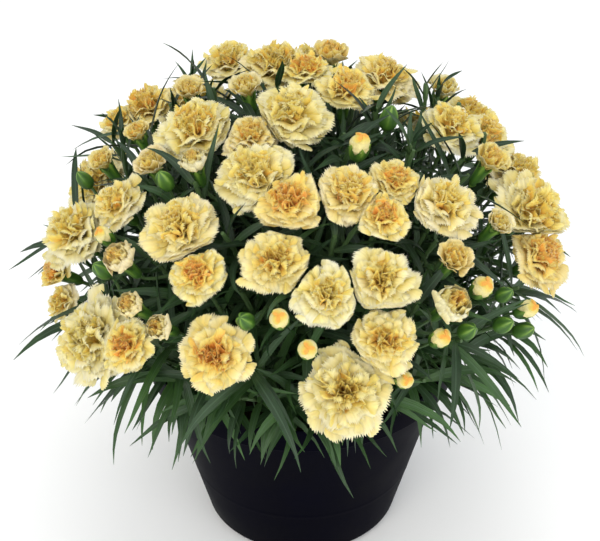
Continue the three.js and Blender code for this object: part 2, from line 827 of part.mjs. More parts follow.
/** Bud: an egg-shaped calyx, longer where the petals push out of its tip. */
function endInBud(skin, last, middle, axis, width, form) {
  const wide = width / 2;
  const long = wide * form.long;
  const rings = form.rings.map(([reach, share]) =>
    skin.ring(around(middle, axis, 5, () => [wide * reach, long * (share - 0.5)])),
  );
  skin.closeEnd(skin.bridgeAll([last, ...rings]), blend(middle, [axis, long / 2]));
}

// Corners of a stem's section in its own two directions: four where leaves grow in pairs, three on
// the side stems, which have none and start thin inside the stem that they fork from.
const FOUR_CORNERS = [[1, 1], [-1, 1], [-1, -1], [1, -1]].map(([a, b]) => [a * 0.93, b * 0.93]);
const THREE_CORNERS = [[1, 0], [-0.5, 0.87], [-0.5, -0.87]];
const THIN_START = 0.5;

/** One stem with its leaves and whatever it ends in, as one closed surface. */
function makeStem(stem) {
  const skin = new Skin();
  const corners = stem.side ? THREE_CORNERS : FOUR_CORNERS;
  const count = corners.length;
  const rings = stem.frames.map(({ at, u, v }, i) => {
    const size = i === 0 && stem.side ? THIN_START : 1;
    return skin.ring(corners.map(([a, b]) => blend(at, [u, a * size], [v, b * size])));
  });
  skin.closeStart(rings[0]);
  for (let i = 1; i < rings.length; i += 1) {
    for (let k = 0; k < count; k += 1) {
      const low = [rings[i - 1][k], rings[i - 1][(k + 1) % count]];
      const high = [rings[i][k], rings[i][(k + 1) % count]];
      const found = stem.leaves.get(`${i - 1}:${k}`);
      if (found) raiseLeaf(skin, low, high, found, stem.frames[i - 1].axis);
      else skin.quad(low[0], low[1], high[1], high[0]);
    }
  }
  stem.ending(skin, rings.at(-1));
  return skin.geometry();
}

// ---------------------------------------------------------------- growing the plants

// The spiral that a head moves out along: steps, degrees further out and round with each, how flat
// it is, and the space that is enough.
const spiral = { steps: 90, wider: 0.55, turn: 2.4, flat: 0.8, enough: 0.3 };

/** Moves a head with a half width out along a widening spiral until nothing stands in its way. */
function clearPlace(bearing, lift, wide) {
  for (let step = 0; step < spiral.steps; step += 1) {
    const swing = step * spiral.wider;
    const angle = step * spiral.turn;
    const aside = swing * Math.cos(angle);
    const up = swing * Math.sin(angle) * spiral.flat;
    const at = onDome(bearing + aside, lift + up, wide * 0.4);
    if (room.clearance([{ at, radius: wide * 1.25 }]) > spiral.enough) return at;
  }
  return onDome(bearing, lift, wide);
}

/** The balls that a bloom's calyx fills. */
function calyxBalls(bloom, tags) {
  const end = blend(bloom.base, [bloom.axis, -calyx.length]);
  return ballsAlong([end, bloom.base], [calyx.slimmest, calyx.mouth], tags);
}

function headBall(head, tags) {
  return { at: head.at, radius: head.width / 2 + 1, ...tags };
}

/** The half-open flowers and the buds, each moved to where nothing stands in its way. */
function placeHeads() {
  const heads = [
    ...OPENING.map(([bearing, lift, width]) => ({ bearing, lift, width })),
    ...BUDS.map(([bearing, lift, width, coloured]) => {
      return { bearing, lift, width, bud: coloured ? colouredBud : greenBud };
    }),
  ];
  heads.forEach((head, index) => {
    head.at = clearPlace(head.bearing, head.lift, head.width / 2);
    head.axis = facing(head.bearing, head.lift);
    head.tag = `head ${index}`;
    room.add([headBall(head, { stem: head.tag, plant: head.tag })]);
  });
  return heads;
}

/** A stem for each open bloom. */
function growFlowerStems() {
  const tagFor = (bloom) => `under ${bloom.name}`;
  for (const bloom of blooms) {
    room.add(calyxBalls(bloom, { stem: tagFor(bloom), plant: tagFor(bloom) }));
  }
  return blooms.map((bloom, index) => {
    const [bearing, lift] = BLOOMS[index];
    const plant = plantFor(bearing, lift);
    const end = blend(bloom.base, [bloom.axis, -calyx.length]);
    room.remove(tagFor(bloom));
    const stem = stemFromCrown(plant, end, bloom.axis, flowerLeaves.shares, bloom);
    room.add(calyxBalls(bloom, { stem: stem.id, plant }));
    const ending = (skin, last) => endInCalyx(skin, last, bloom.base, bloom.axis);
    const { lengths, droop } = flowerLeaves;
    return { ...stem, ending, leaves: new Map(), lengths, droop };
  });
}

/** A side stem for each half-open flower and bud. */
function growSideStems(parents, heads) {
  return heads.map((head) => {
    const { at, axis, width, bud } = head;
    const base = bud ? at : blend(at, [axis, -width * 0.4]);
    const end = blend(base, [axis, bud ? -width * 0.95 : -calyx.length]);
    room.remove(head.tag);
    const stem = stemFromFork(parents, end, axis);
    room.add([headBall(head, { stem: stem.id, plant: stem.plant })]);
    const ending = bud
      ? (skin, last) => endInBud(skin, last, base, axis, width, bud)
      : (skin, last) => endInOpening(skin, last, base, axis, width);
    return { ...stem, side: true, ending, leaves: new Map() };
  });
}

// The least space that a leafy shoot keeps to what stands already, or it is left out.
const SHOOT_SPACE = 0.2;

/** The leafy shoots of one plant. */
function growShoots([bearing, , plantLift], plant) {
  const innerShoots = plantLift > 30 ? INNER_SHOOTS : OUTER_SHOOTS;
  const shoots = plantLift === 90 ? TOP_SHOOTS : innerShoots;
  const grown = [];
  for (const [aside, lift, reach, long] of shoots) {
    const end = new THREE.Vector3(0, 0, dome.middle).lerp(onDome(bearing + aside, lift), reach);
    const way = facing(bearing + aside, Math.max(-20, lift - 20));
    const stem = stemFromCrown(plant, end, way, shootLeaves.shares, null);
    if (stem.space < SHOOT_SPACE) continue;
    const { at, axis } = stem.frames.at(-1);
    const ending = (skin, last) => skin.closeEnd(last, blend(at, [axis, shootTip]));
    const lengths = shootLeaves.lengths.map((share) => share * long);
    const droop = lift < 0 ? shootLeaves.lowDroop : shootLeaves.droop;
    grown.push({ ...stem, ending, leaves: new Map(), lengths, droop });
  }
  return grown;
}

function growStems() {
  const heads = placeHeads();
  const flowerStems = growFlowerStems();
  const sideStems = growSideStems(flowerStems, heads);
  const leafy = [...flowerStems, ...PLANTS.flatMap(growShoots)];
  for (const stem of leafy) growLeaves(stem, stem.lengths, stem.droop);
  return [...leafy, ...sideStems];
}

/** A plant's crown with all of its stems, as one solid. */
function makePlant(plant, stems) {
  const { radius, depth, rise } = crown;
  const stump = post(plantFoot(PLANTS[plant]), radius, -depth, rise, crown.sides);
  const grown = stems.filter((stem) => stem.plant === plant).map(makeStem);
  return fromSolid(wasm.Manifold.union([stump, ...grown].map(solid)));
}

// ---------------------------------------------------------------- the whole

const colours = {
  pot: { color: '#0b0b10', roughness: 0.45, metalness: 0 },
  soil: { color: '#2a1d14', roughness: 1, metalness: 0 },
  plant: { color: '#3f5f3c', roughness: 0.7, metalness: 0 },
  bloom: { color: '#f1dc9a', roughness: 0.8, metalness: 0 },
};

function piece(name, geometry, look) {
  const mesh = new THREE.Mesh(geometry, new THREE.MeshStandardMaterial(look));
  mesh.name = name;
  return mesh;
}

const dianthus = new THREE.Group();
dianthus.name = 'dianthus';
dianthus.add(piece('pot', makePot(), colours.pot));
dianthus.add(piece('soil', makeSoil(), colours.soil));

const stems = growStems();
PLANTS.forEach((_, plant) => {
  dianthus.add(piece(numbered('plant', plant), makePlant(plant, stems), colours.plant));
});
for (const bloom of blooms) dianthus.add(piece(bloom.name, makeBloom(bloom), colours.bloom));

export default dianthus;
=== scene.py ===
"""A pot carnation (dianthus) in flower: black plastic pot, soil, twelve plants and their blooms.

Lengths are millimetres in the plan and metres in the meshes. +Z is up, the front is -Y, and the
origin is the middle of the pot's underside. The plants grow by the same seeded rules as the solids,
and get more leaves than those have.
"""

import math

import bmesh
import bpy
import numpy as np
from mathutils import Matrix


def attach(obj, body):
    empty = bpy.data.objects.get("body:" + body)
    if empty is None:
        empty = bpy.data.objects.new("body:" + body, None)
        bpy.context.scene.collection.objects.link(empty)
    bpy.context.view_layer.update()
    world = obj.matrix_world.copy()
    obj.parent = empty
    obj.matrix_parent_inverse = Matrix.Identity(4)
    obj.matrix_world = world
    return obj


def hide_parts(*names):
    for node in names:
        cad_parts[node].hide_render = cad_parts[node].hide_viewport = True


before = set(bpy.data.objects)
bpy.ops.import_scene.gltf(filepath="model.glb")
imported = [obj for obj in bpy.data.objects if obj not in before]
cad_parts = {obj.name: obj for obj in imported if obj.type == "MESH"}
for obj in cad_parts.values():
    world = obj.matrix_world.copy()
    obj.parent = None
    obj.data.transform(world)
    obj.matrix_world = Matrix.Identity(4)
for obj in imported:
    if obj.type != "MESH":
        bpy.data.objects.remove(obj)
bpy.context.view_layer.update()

MM = 0.001
X = np.array([1.0, 0.0, 0.0])
Z = np.array([0.0, 0.0, 1.0])

# ------------------------------------------------------------------ sizes, as in the solids

GAP = 0.3  # between neighbouring solids
POT = {
    "height": 115, "base": 52.5, "foot_bevel": 4, "band_z": 100.5, "neck": 79.6, "rim": 85.6,
    "band_taper": 1, "wall": 1.5, "floor": 47.5, "floor_bevel": 3,
}
DRAINS = {"count": 4, "radius": 4.5, "ring": 34}
SOIL = {"top": 99, "foot": 46.5, "edge_drop": 2.5}
DOME = {"radius": 132, "height": 88, "middle": 175}
TILT = {"level": 36, "per_lift": 0.6}
CROWN = {"depth": 14, "rise": 3, "spread": 4}
STEM = 1.15  # radius
NODE = 2.6  # the stretch of stem that a pair of leaves grows from
CALYX = {"length": 13, "mouth": 4.3, "slimmest": 2.5}
LEAF = {"splay": 52, "turn": 0.12, "long_from": 50}
LONG_LEAF = ([0.3, 0.38, 0.32], [1, 2.8, 2.1, 0.5])
SHORT_LEAF = ([0.45, 0.55], [1, 2.24, 0.5])
# An open bloom: how far it may face aside and nod, in degrees, and in shares of its radius how
# far its middle is above its calyx, and the egg that stems and leaves keep out of.
BLOOM = {"swing": 16, "nod": 14, "seat": 0.6, "wide": 1.1, "tall": 0.66, "middle": 0.64}
BLOOM_MARGIN = 0.5
# How a stem looks for its way: what each try bends more, the pull of its ends, the clearance
# that is enough, and how near its foot it may touch the pot and the soil.
ROUTE = {"bend": 0.02, "pull": 0.3, "more_pull": 0.12, "enough": 0.6, "foot": 18}
FORKS = (0.5, 0.58, 0.66, 0.86)  # where side stems may fork off, as shares of a stem
SHORT_FORK = 18  # a side stem shorter than this is the last choice

# Open blooms: bearing round the pot in degrees from the front, positive to the right; lift up the
# dome in degrees; width across; how far out of the dome; and how golden the heart is, 0 to 1.
BLOOMS = [
    # top and upper left
    (-24, 84, 42, 2, 0.2), (-52, 75, 28, -5, 0.7), (-80, 65, 40, 0, 0.55), (-22, 62, 41, 2, 0.3),
    (-5, 56, 36, 3, 0.75), (-124, 38, 32, 0, 0.45), (-117, 32, 24, 2, 0.6),
    (-153, 50, 33, 6, 0.45), (-166, 63, 39, 2, 0.4), (178, 68, 28, 0, 0.75),
    # upper right
    (132, 76, 32, 0, 0.5), (138, 60, 34, 2, 0.6), (19, 57, 35, 2, 0.55), (27, 49, 26, 2, 0.8),
    (41, 57, 26, -1, 0.65), (50, 46, 35, 2, 0.45), (96, 53, 34, 0, 0.5), (103, 40, 31, 0, 0.6),
    (81, 23, 47, 3, 0.35), (74, 11, 36, 1, 0.75),
    # left side
    (-73, 22, 38, 2, 0.45), (-66, 38, 28, -1, 0.55), (-38, 43, 38, 1, 0.45), (-27, 33, 27, 0, 0.9),
    (-80, -1, 22, 2, 0.7), (-75, -9, 22, 2, 0.6), (-53, -2, 45, 3, 0.15), (-41, 4, 27, 1, 1.0),
    (-19, 11, 33, 0, 0.85),
    # front
    (-7, 40, 33, 0, 0.4), (6, 31, 32, 1, 0.45), (20, 33, 34, 2, 0.45), (18, 16, 32, 1, 0.5),
    (9, 1, 42, 2, 0.25),
    # back
    (178, 40, 40, 0, 0.3), (154, 36, 38, 0, 0.6), (-148, 24, 42, 0, 0.4), (126, 28, 38, 0, 0.5),
    (171, 16, 42, 0, 0.7), (144, 9, 38, 0, 0.3), (112, 12, 40, 0, 0.5), (-172, -3, 38, 0, 0.4),
    (-116, 4, 40, 0, 0.35), (-144, -5, 36, 0, 0.7),
]

# Half-open flowers on side stems: bearing, lift, width.
OPENING = [
    (168, 56, 20), (116, 65, 17), (-104, 71, 17), (-82, 78, 16), (41, 39, 18), (90, 38, 18),
    (60, 33, 14), (-46, 31, 17), (40, 24, 20), (-84, 40, 14), (-88, 51, 13), (-67, 56, 17),
    (-47, 59, 14), (-31, 7, 14), (-40, 18, 14),
]

# Buds on side stems: bearing, lift, width, and whether colour shows at the tip.
BUDS = [
    (-5, 24, 9, True), (2, 13, 9, True), (19, 3, 8, True), (31, 26, 10, True), (32, 15, 9, True),
    (57, 5, 9, True), (-57, 30, 8, True), (34, 68, 10, True),
    (75, 70, 10, False), (51, 15, 8, False), (49, 6, 9, False), (58, -4, 9, False),
    (38, 11, 9, False), (-27, 17, 9, False), (-53, 22, 9, False), (-54, 51, 9, False),
    (-84, 32, 8, False),
]

# Where each plant comes out of the soil: bearing, distance from the middle, lift of its share.
PLANTS = [
    (0, 0, 90), (-50, 28, 56), (50, 28, 56), (140, 28, 56), (-130, 28, 56),
    (0, 56, 12), (52, 56, 12), (103, 56, 12), (154, 56, 12), (-154, 56, 12), (-103, 56, 12),
    (-52, 56, 12),
]

# Leafy side shoots: bearing from the plant's own, lift, reach, length of the lowest leaves.
OUTER_SHOOTS = [
    (-17, -20, 0.86, 72), (0, -24, 0.84, 76), (17, -20, 0.86, 72), (-12, 2, 0.92, 64),
    (13, 4, 0.92, 64),
]
INNER_SHOOTS = [(-26, 50, 0.92, 56), (24, 44, 0.92, 58)]
TOP_SHOOTS = [(40, 72, 0.95, 46), (-140, 70, 0.95, 46)]

FLOWER_LEAVES = {"shares": [0.7], "lengths": [46], "droop": 0.22}
SHOOT_LEAVES = {"shares": [0.45, 0.72, 0.96], "lengths": [1, 0.94, 0.8], "droop": 0.2, "low": 0.42}

# ------------------------------------------------------------------ small tools


def stream(seed):
    """A seeded stream of numbers between 0 and 1."""
    state = (seed * 7919 + 12345) % 2**32
    while True:
        state = (state * 1664525 + 1013904223) % 2**32
        yield state / 2**32


def drawer(seed):
    return stream(seed).__next__


def unit(vector):
    return vector / math.sqrt(vector @ vector)


def cross(a, b):
    return np.array([
        a[1] * b[2] - a[2] * b[1], a[2] * b[0] - a[0] * b[2], a[0] * b[1] - a[1] * b[0],
    ])


def length(vector):
    return math.sqrt(vector @ vector)


def outward(bearing):
    angle = math.radians(bearing)
    return np.array([math.sin(angle), -math.cos(angle), 0.0])


def climbing(bearing, degrees):
    angle = math.radians(degrees)
    return outward(bearing) * math.cos(angle) + Z * math.sin(angle)


def on_dome(bearing, lift, out=0.0):
    wide = DOME["radius"] + out
    way = climbing(bearing, lift)
    return way * [wide, wide, DOME["height"] + out] + Z * DOME["middle"]


def facing(bearing, lift):
    return climbing(bearing, TILT["level"] + TILT["per_lift"] * lift)


def sides(axis):
    """Two directions square to an axis and to each other."""
    across = cross(Z, axis)
    if length(across) < 0.05:
        across = X
    across = unit(across)
    return across, unit(cross(axis, across))


def between(u, v, angle):
    return u * math.cos(angle) + v * math.sin(angle)


# ------------------------------------------------------------------ the plan: where all of it stands


def plan_blooms():
    blooms = []
    for index, (bearing, lift, across, out, gold) in enumerate(BLOOMS):
        draw = drawer(100 + index)
        aside = (draw() - 0.5) * BLOOM["swing"]
        axis = facing(bearing + aside, lift + (draw() - 0.5) * BLOOM["nod"])
        radius = across / 2
        middle = on_dome(bearing, lift, out)
        base = middle - axis * BLOOM["seat"] * radius
        blooms.append({
            "index": index, "radius": radius, "axis": axis, "middle": middle, "base": base,
            "gold": gold, "name": f"bloom_{index + 1:02d}",
        })
    return blooms


blooms = plan_blooms()
BLOOM_BASE = np.array([bloom["base"] for bloom in blooms])
BLOOM_AXIS = np.array([bloom["axis"] for bloom in blooms])
BLOOM_RADIUS = np.array([bloom["radius"] for bloom in blooms])
NONE = -9999  # no stem and no plant
# What holds a place for a head or a calyx until its stem has grown counts down from these.
HEAD_TAG = -1000
CALYX_TAG = -2000
MOST_BALLS = 60000


class Room:
    """Keeps what has been placed, so that what comes later is bent clear of it."""

    def __init__(self):
        self.count = 0
        self.at = np.zeros((MOST_BALLS, 3))
        self.radius = np.zeros(MOST_BALLS)
        self.stem = np.full(MOST_BALLS, NONE)
        self.plant = np.full(MOST_BALLS, NONE)

    def add(self, balls, stem, plant):
        more = slice(self.count, self.count + len(balls["at"]))
        self.at[more] = balls["at"]
        self.radius[more] = balls["radius"]
        self.stem[more] = stem
        self.plant[more] = plant
        self.count = more.stop

    def remove(self, stem):
        """Moves the balls of a stem out of the way of everything."""
        self.at[: self.count][self.stem[: self.count] == stem] = 1e6

    def in_bloom(self, at, radius, own):
        away = at[:, None, :] - BLOOM_BASE[None]
        rise = np.einsum("ijk,jk->ij", away, BLOOM_AXIS)
        reach = np.sqrt(np.maximum(0, np.einsum("ijk,ijk->ij", away, away) - rise**2))
        wide = BLOOM_RADIUS * BLOOM["wide"] + radius[:, None]
        tall = BLOOM_RADIUS * BLOOM["tall"] + radius[:, None]
        inside = (reach / wide) ** 2 + ((rise - BLOOM_RADIUS * BLOOM["middle"]) / tall) ** 2 < 1
        if own is not None:
            inside[:, own] = False
        return inside.any()

    def in_pot(self, at, radius):
        reach = np.hypot(at[:, 0], at[:, 1])
        low = at[:, 2] - radius
        clear = (low > POT["height"] + 1) | (reach - radius > POT["rim"] + 1)
        touching = (reach + radius > POT["rim"] - 4) | (low - SOIL["top"] < 2.5)
        return (~clear & touching).any()

    def clearance(self, balls, own=None):
        """How far the balls are from all that is placed, up to 1; negative where they touch."""
        at, radius = balls["at"], balls["radius"]
        if self.in_bloom(at, radius + BLOOM_MARGIN, own):
            return -100.0
        tested = ~balls["near_foot"]
        if tested.any() and self.in_pot(at[tested], radius[tested]):
            return -100.0
        placed = self.at[: self.count]
        low = at.min(0) - 25
        high = at.max(0) + 25
        near = np.flatnonzero(((placed > low) & (placed < high)).all(1))
        if len(near) == 0:
            return 1.0
        apart = at[:, None, :] - placed[near][None]
        space = np.sqrt(np.einsum("ijk,ijk->ij", apart, apart))
        space -= radius[:, None] + self.radius[near][None]
        space[balls["skip_stem"][:, None] == self.stem[near][None]] = 1
        space[balls["skip_plant"][:, None] == self.plant[near][None]] = 1
        return min(1.0, space.min())


def chain(at, radius, along):
    """Balls at some places, none of them excused from touching anything yet."""
    count = len(at)
    return {
        "at": np.array(at), "radius": np.array(radius, float), "along": np.array(along),
        "near_foot": np.zeros(count, bool),
        "skip_stem": np.full(count, NONE + 1), "skip_plant": np.full(count, NONE + 1),
    }


def part_of(balls, kept):
    return {key: value[kept] for key, value in balls.items()}


def balls_along(line, radii, step=3):
    at, radius, along = [], [], []
    travelled = 0.0
    for i in range(1, len(line)):
        span = length(line[i] - line[i - 1])
        count = max(1, math.ceil(span / step))
        for k in range(0 if i == 1 else 1, count + 1):
            share = k / count
            at.append(line[i - 1] + (line[i] - line[i - 1]) * share)
            radius.append(radii[i - 1] + (radii[i] - radii[i - 1]) * share)
            along.append(travelled + span * share)
        travelled += span
    return chain(at, radius, along)


room = Room()


class Bow:
    """A cubic curve that leaves one point along a direction and arrives at another along its own."""

    def __init__(self, start, leaving, end, arriving, pull):
        span = length(end - start) * pull
        self.points = np.array([start, start + leaving * span, end - arriving * span, end])

    def at(self, t):
        t = np.asarray(t, float)
        k = 1 - t
        weights = np.stack([k**3, 3 * k * k * t, 3 * k * t * t, t**3], axis=-1)
        return weights @ self.points

    def length(self):
        places = self.at(np.linspace(0, 1, 201))
        return np.sqrt((np.diff(places, axis=0) ** 2).sum(1)).sum()

    def tangent(self, t):
        return unit(self.at(min(1, t + 0.0001)) - self.at(max(0, t - 0.0001)))


def stations(curve, shares):
    step = NODE / curve.length()
    places = [0]
    if not shares:
        places.append(0.5)
    for share in shares:
        places += [share, min(0.995, share + step)]
    if places[-1] < 0.96:
        places.append(1)
    return curve.at(places)


def frames_along(line, seed):
    """A direction along the stem and two square to it at each point, without a twist."""
    across, over = sides(unit(line[1] - line[0]))
    u = between(across, over, drawer(seed)() * math.pi)
    frames = []
    for i, at in enumerate(line):
        axis = unit(line[min(len(line) - 1, i + 1)] - line[max(0, i - 1)])
        u = unit(u - axis * (u @ axis))
        frames.append((at, axis, u, cross(axis, u)))
    return frames


stem_count = 0


def find_route(plant, start, leaving, end, arriving, shares, own, joined, tries=60):
    """Finds a route clear of everything placed so far, bending more with each try.

    `joined` is how far along it may touch its own plant.
    """
    global stem_count
    stem_count += 1
    draw = drawer(1000 + stem_count)
    best = None
    for attempt in range(tries):
        def turned(way):
            bend = np.array([draw() - 0.5, draw() - 0.5, draw() - 0.5])
            return unit(bend * (attempt * ROUTE["bend"]) + way)
        arrival = arriving if own is not None else turned(arriving)
        pull = ROUTE["pull"] + ROUTE["more_pull"] * draw()
        curve = Bow(start, turned(leaving), end, arrival, pull)
        line = stations(curve, shares)
        balls = balls_along(line, [STEM] * len(line))
        balls["near_foot"] = balls["along"] < ROUTE["foot"]
        balls["skip_plant"][balls["along"] < joined] = plant
        space = room.clearance(balls, own)
        if best is None or space > best["space"]:
            best = {"space": space, "line": line, "balls": balls, "curve": curve}
        if space > ROUTE["enough"]:
            break
    room.add(best["balls"], stem_count, plant)
    return {
        "id": stem_count, "plant": plant, "shares": shares, "forks": [], "leaves": [],
        "frames": frames_along(best["line"], 5000 + stem_count),
        "curve": best["curve"], "space": best["space"],
    }


def plant_foot(plant):
    bearing, distance, _ = PLANTS[plant]
    return outward(bearing) * distance + Z * SOIL["top"]


def plant_for(bearing, lift):
    way = climbing(bearing, lift)
    apart = [length(climbing(plant[0], plant[2]) - way) for plant in PLANTS]
    return apart.index(min(apart))


def stem_from_crown(plant, end, arriving, shares, own, tries=60):
    foot = plant_foot(plant)
    toward = (end - foot) * [1, 1, 0]
    level = length(toward)
    if level > 1:
        toward = toward / level
    slant = math.atan2(level, end[2] - foot[2])
    start = foot + toward * CROWN["spread"] * math.sin(slant) + Z
    leaving = unit(Z + toward * min(0.9, level / 90))
    return find_route(plant, start, leaving, end, arriving, shares, own, 22, tries)


def stem_from_fork(parents, end, arriving):
    best = None
    for parent in parents:
        for share in FORKS:
            if share in parent["forks"]:
                continue
            at = parent["curve"].at(share)
            away = end - at
            far = length(away)
            climb = away @ parent["curve"].tangent(share) / far
            cost = far * (1.6 - climb) + (60 if far < SHORT_FORK else 0)
            if best is None or cost < best[0]:
                best = (cost, at, parent, share)
    _, at, parent, share = best
    parent["forks"].append(share)
    leaving = unit(parent["curve"].tangent(share) + unit(end - at) * 0.9)
    return find_route(parent["plant"], at, leaving, end, arriving, [], None, 9)


def leaf_line(foot, axis, side, long, droop, bend, splay):
    way = unit(between(axis, side, math.radians(splay)) + bend)
    line = [foot]
    for part in (LONG_LEAF if long > LEAF["long_from"] else SHORT_LEAF)[0]:
        line.append(line[-1] + way * long * part)
        way = unit(way - Z * droop + side * LEAF["turn"])
    return line


def find_leaf(stem, at, axis, side, long, droop, draw, enough=0.4, tries=10):
    """Finds a clear line for a leaf and keeps it on its stem, or leaves it out."""
    foot = at + side * (STEM * 0.7) + axis * (NODE / 2)
    for attempt in range(tries):
        bend = np.array([draw() - 0.5, draw() - 0.5, draw() - 0.5])
        bend = bend * (0.25 + attempt * 0.09)
        varied = long * (0.86 + 0.28 * draw()) * (1 - 0.05 * attempt)
        line = leaf_line(foot, axis, side, varied, droop, bend, stem.get("splay", LEAF["splay"]))
        widths = (LONG_LEAF if varied > LEAF["long_from"] else SHORT_LEAF)[1]
        balls = balls_along(line, widths)
        tested = part_of(balls, balls["along"] > 2.5)
        tested["skip_stem"][tested["along"] < 8.5] = stem["id"]
        if room.clearance(tested) > enough:
            taken = part_of(balls, balls["along"] > 3)
            room.add(taken, stem["id"], stem["plant"])
            stem["leaves"].append({"line": line, "axis": axis, "width": max(widths)})
            return


def grow_leaves(stem, lengths, droop):
    """The leaves that the solids have, pair by pair, each pair turned a quarter from the last."""
    draw = drawer(9000 + stem["id"])
    for pair in range(len(stem["shares"])):
        at, axis, u, v = stem["frames"][1 + pair * 2]
        for side in ([v, -v] if pair % 2 == 0 else [-u, u]):
            find_leaf(stem, at, axis, side, lengths[pair], droop, draw)


def clear_place(bearing, lift, wide):
    for step in range(90):
        swing = step * 0.55
        angle = step * 2.4
        aside = swing * math.cos(angle)
        up = swing * math.sin(angle) * 0.8
        at = on_dome(bearing + aside, lift + up, wide * 0.4)
        if room.clearance(chain([at], [wide * 1.25], [0])) > 0.3:
            return at
    return on_dome(bearing, lift, wide)


def plan_heads():
    """The half-open flowers and the buds, each moved to where nothing stands in its way."""
    heads = [{"at": one[:2], "width": one[2], "kind": "opening"} for one in OPENING]
    heads += [
        {"at": one[:2], "width": one[2], "kind": "coloured" if one[3] else "green"} for one in BUDS
    ]
    for index, head in enumerate(heads):
        bearing, lift = head["at"]
        head["axis"] = facing(bearing, lift)
        head["at"] = clear_place(bearing, lift, head["width"] / 2)
        head["tag"] = HEAD_TAG - index
        ball = chain([head["at"]], [head["width"] / 2 + 1], [0])
        room.add(ball, head["tag"], head["tag"])
    return heads


def calyx_balls(bloom):
    end = bloom["base"] - bloom["axis"] * CALYX["length"]
    return balls_along([end, bloom["base"]], [CALYX["slimmest"], CALYX["mouth"]])


def grow_flower_stems():
    for bloom in blooms:
        tag = CALYX_TAG - bloom["index"]
        room.add(calyx_balls(bloom), tag, tag)
    grown = []
    for bloom in blooms:
        bearing, lift = BLOOMS[bloom["index"]][:2]
        plant = plant_for(bearing, lift)
        end = bloom["base"] - bloom["axis"] * CALYX["length"]
        room.remove(CALYX_TAG - bloom["index"])
        stem = stem_from_crown(
            plant, end, bloom["axis"], FLOWER_LEAVES["shares"], bloom["index"],
        )
        room.add(calyx_balls(bloom), stem["id"], plant)
        stem.update(lengths=FLOWER_LEAVES["lengths"], droop=FLOWER_LEAVES["droop"], kind="flower")
        bloom["plant"] = plant
        grown.append(stem)
    return grown


def grow_side_stems(parents, heads):
    grown = []
    for head in heads:
        at, axis, width = head["at"], head["axis"], head["width"]
        bud = head["kind"] != "opening"
        base = at if bud else at - axis * width * 0.4
        end = base - axis * (width * 0.95 if bud else CALYX["length"])
        room.remove(head["tag"])
        stem = stem_from_fork(parents, end, axis)
        ball = chain([at], [width / 2 + 1], [0])
        room.add(ball, stem["id"], stem["plant"])
        head.update(base=base, plant=stem["plant"])
        stem["kind"] = "side"
        grown.append(stem)
    return grown


def grow_shoots():
    grown = []
    for plant, (bearing, _, plant_lift) in enumerate(PLANTS):
        shoots = INNER_SHOOTS if plant_lift > 30 else OUTER_SHOOTS
        for aside, lift, reach, long in (TOP_SHOOTS if plant_lift == 90 else shoots):
            middle = Z * DOME["middle"]
            end = middle + (on_dome(bearing + aside, lift) - middle) * reach
            way = facing(bearing + aside, max(-20, lift - 20))
            stem = stem_from_crown(plant, end, way, SHOOT_LEAVES["shares"], None)
            if stem["space"] < 0.2:
                continue
            droop = SHOOT_LEAVES["low" if lift < 0 else "droop"]
            lengths = [share * long for share in SHOOT_LEAVES["lengths"]]
            stem.update(lengths=lengths, droop=droop, kind="shoot")
            grown.append(stem)
    return grown


heads = plan_heads()
flower_stems = grow_flower_stems()
side_stems = grow_side_stems(flower_stems, heads)
shoots = grow_shoots()
for stem in flower_stems + shoots:
    grow_leaves(stem, stem["lengths"], stem["droop"])

# ------------------------------------------------------------------ more leaves than the solids have

# Pairs at more places along each stem: share of its length, length of the leaves.
MORE_PAIRS = {
    "flower": [(0.3, 54), (0.42, 56), (0.56, 52), (0.82, 34)],
    "shoot": [(0.28, 62), (0.37, 62), (0.55, 60), (0.64, 58), (0.84, 52), (0.9, 46)],
    "side": [(0.45, 26)],
    "filler": [(0.36, 52), (0.5, 54), (0.64, 52), (0.78, 48), (0.9, 42), (0.98, 34)],
    "tuft": [(0.5, 46), (0.66, 42), (0.78, 34), (0.88, 30), (0.95, 24), (0.99, 20)],
}
# Short leafy shoots among the stems: how many for each plant, and their lift and reach.
OUTER_FILLERS = {"count": 7, "lift": (-14, 50), "reach": (0.55, 0.9), "swing": 45}
INNER_FILLERS = {"count": 22, "lift": (25, 88), "reach": (0.66, 0.97), "swing": 70}
# Shoots whose young leaves stand up between the topmost blooms: bearing, lift and reach.
TUFTS = [
    (-116, 62, 1.02), (-128, 56, 1.0), (113, 60, 1.06), (105, 52, 1.04), (120, 52, 1.03),
    (66, 62, 0.95), (96, 44, 1.0), (-96, 44, 0.98),
]


def carried_frame(stem, share):
    """The frame of a stem at a share of its length, carried without a twist from its foot."""
    _, _, u, _ = stem["frames"][0]
    for t in np.linspace(0, share, 9)[1:]:
        axis = stem["curve"].tangent(t)
        u = unit(u - axis * (u @ axis))
    return stem["curve"].at(share), axis, u, cross(axis, u)


def grow_fillers():
    grown = []
    draw = drawer(77)
    for plant, (bearing, distance, plant_lift) in enumerate(PLANTS):
        rule = INNER_FILLERS if plant_lift > 30 else OUTER_FILLERS
        for _ in range(rule["count"]):
            swing = rule["swing"] if distance else 180
            lift = rule["lift"][0] + draw() * (rule["lift"][1] - rule["lift"][0])
            reach = rule["reach"][0] + draw() * (rule["reach"][1] - rule["reach"][0])
            toward = bearing + (draw() - 0.5) * 2 * swing
            middle = Z * (DOME["middle"] - 22)
            end = middle + (on_dome(toward, lift) - middle) * reach
            stem = stem_from_crown(plant, end, facing(toward, lift), [], None, 24)
            if stem["space"] > -0.6:
                stem.update(droop=0.2, kind="filler", splay=42)
                grown.append(stem)
    for bearing, lift, reach in TUFTS:
        middle = Z * DOME["middle"]
        end = middle + (on_dome(bearing, lift) - middle) * reach
        stem = stem_from_crown(plant_for(bearing, lift), end, Z, [], None, 24)
        stem.update(droop=0.06, kind="tuft", splay=26)
        grown.append(stem)
    return grown


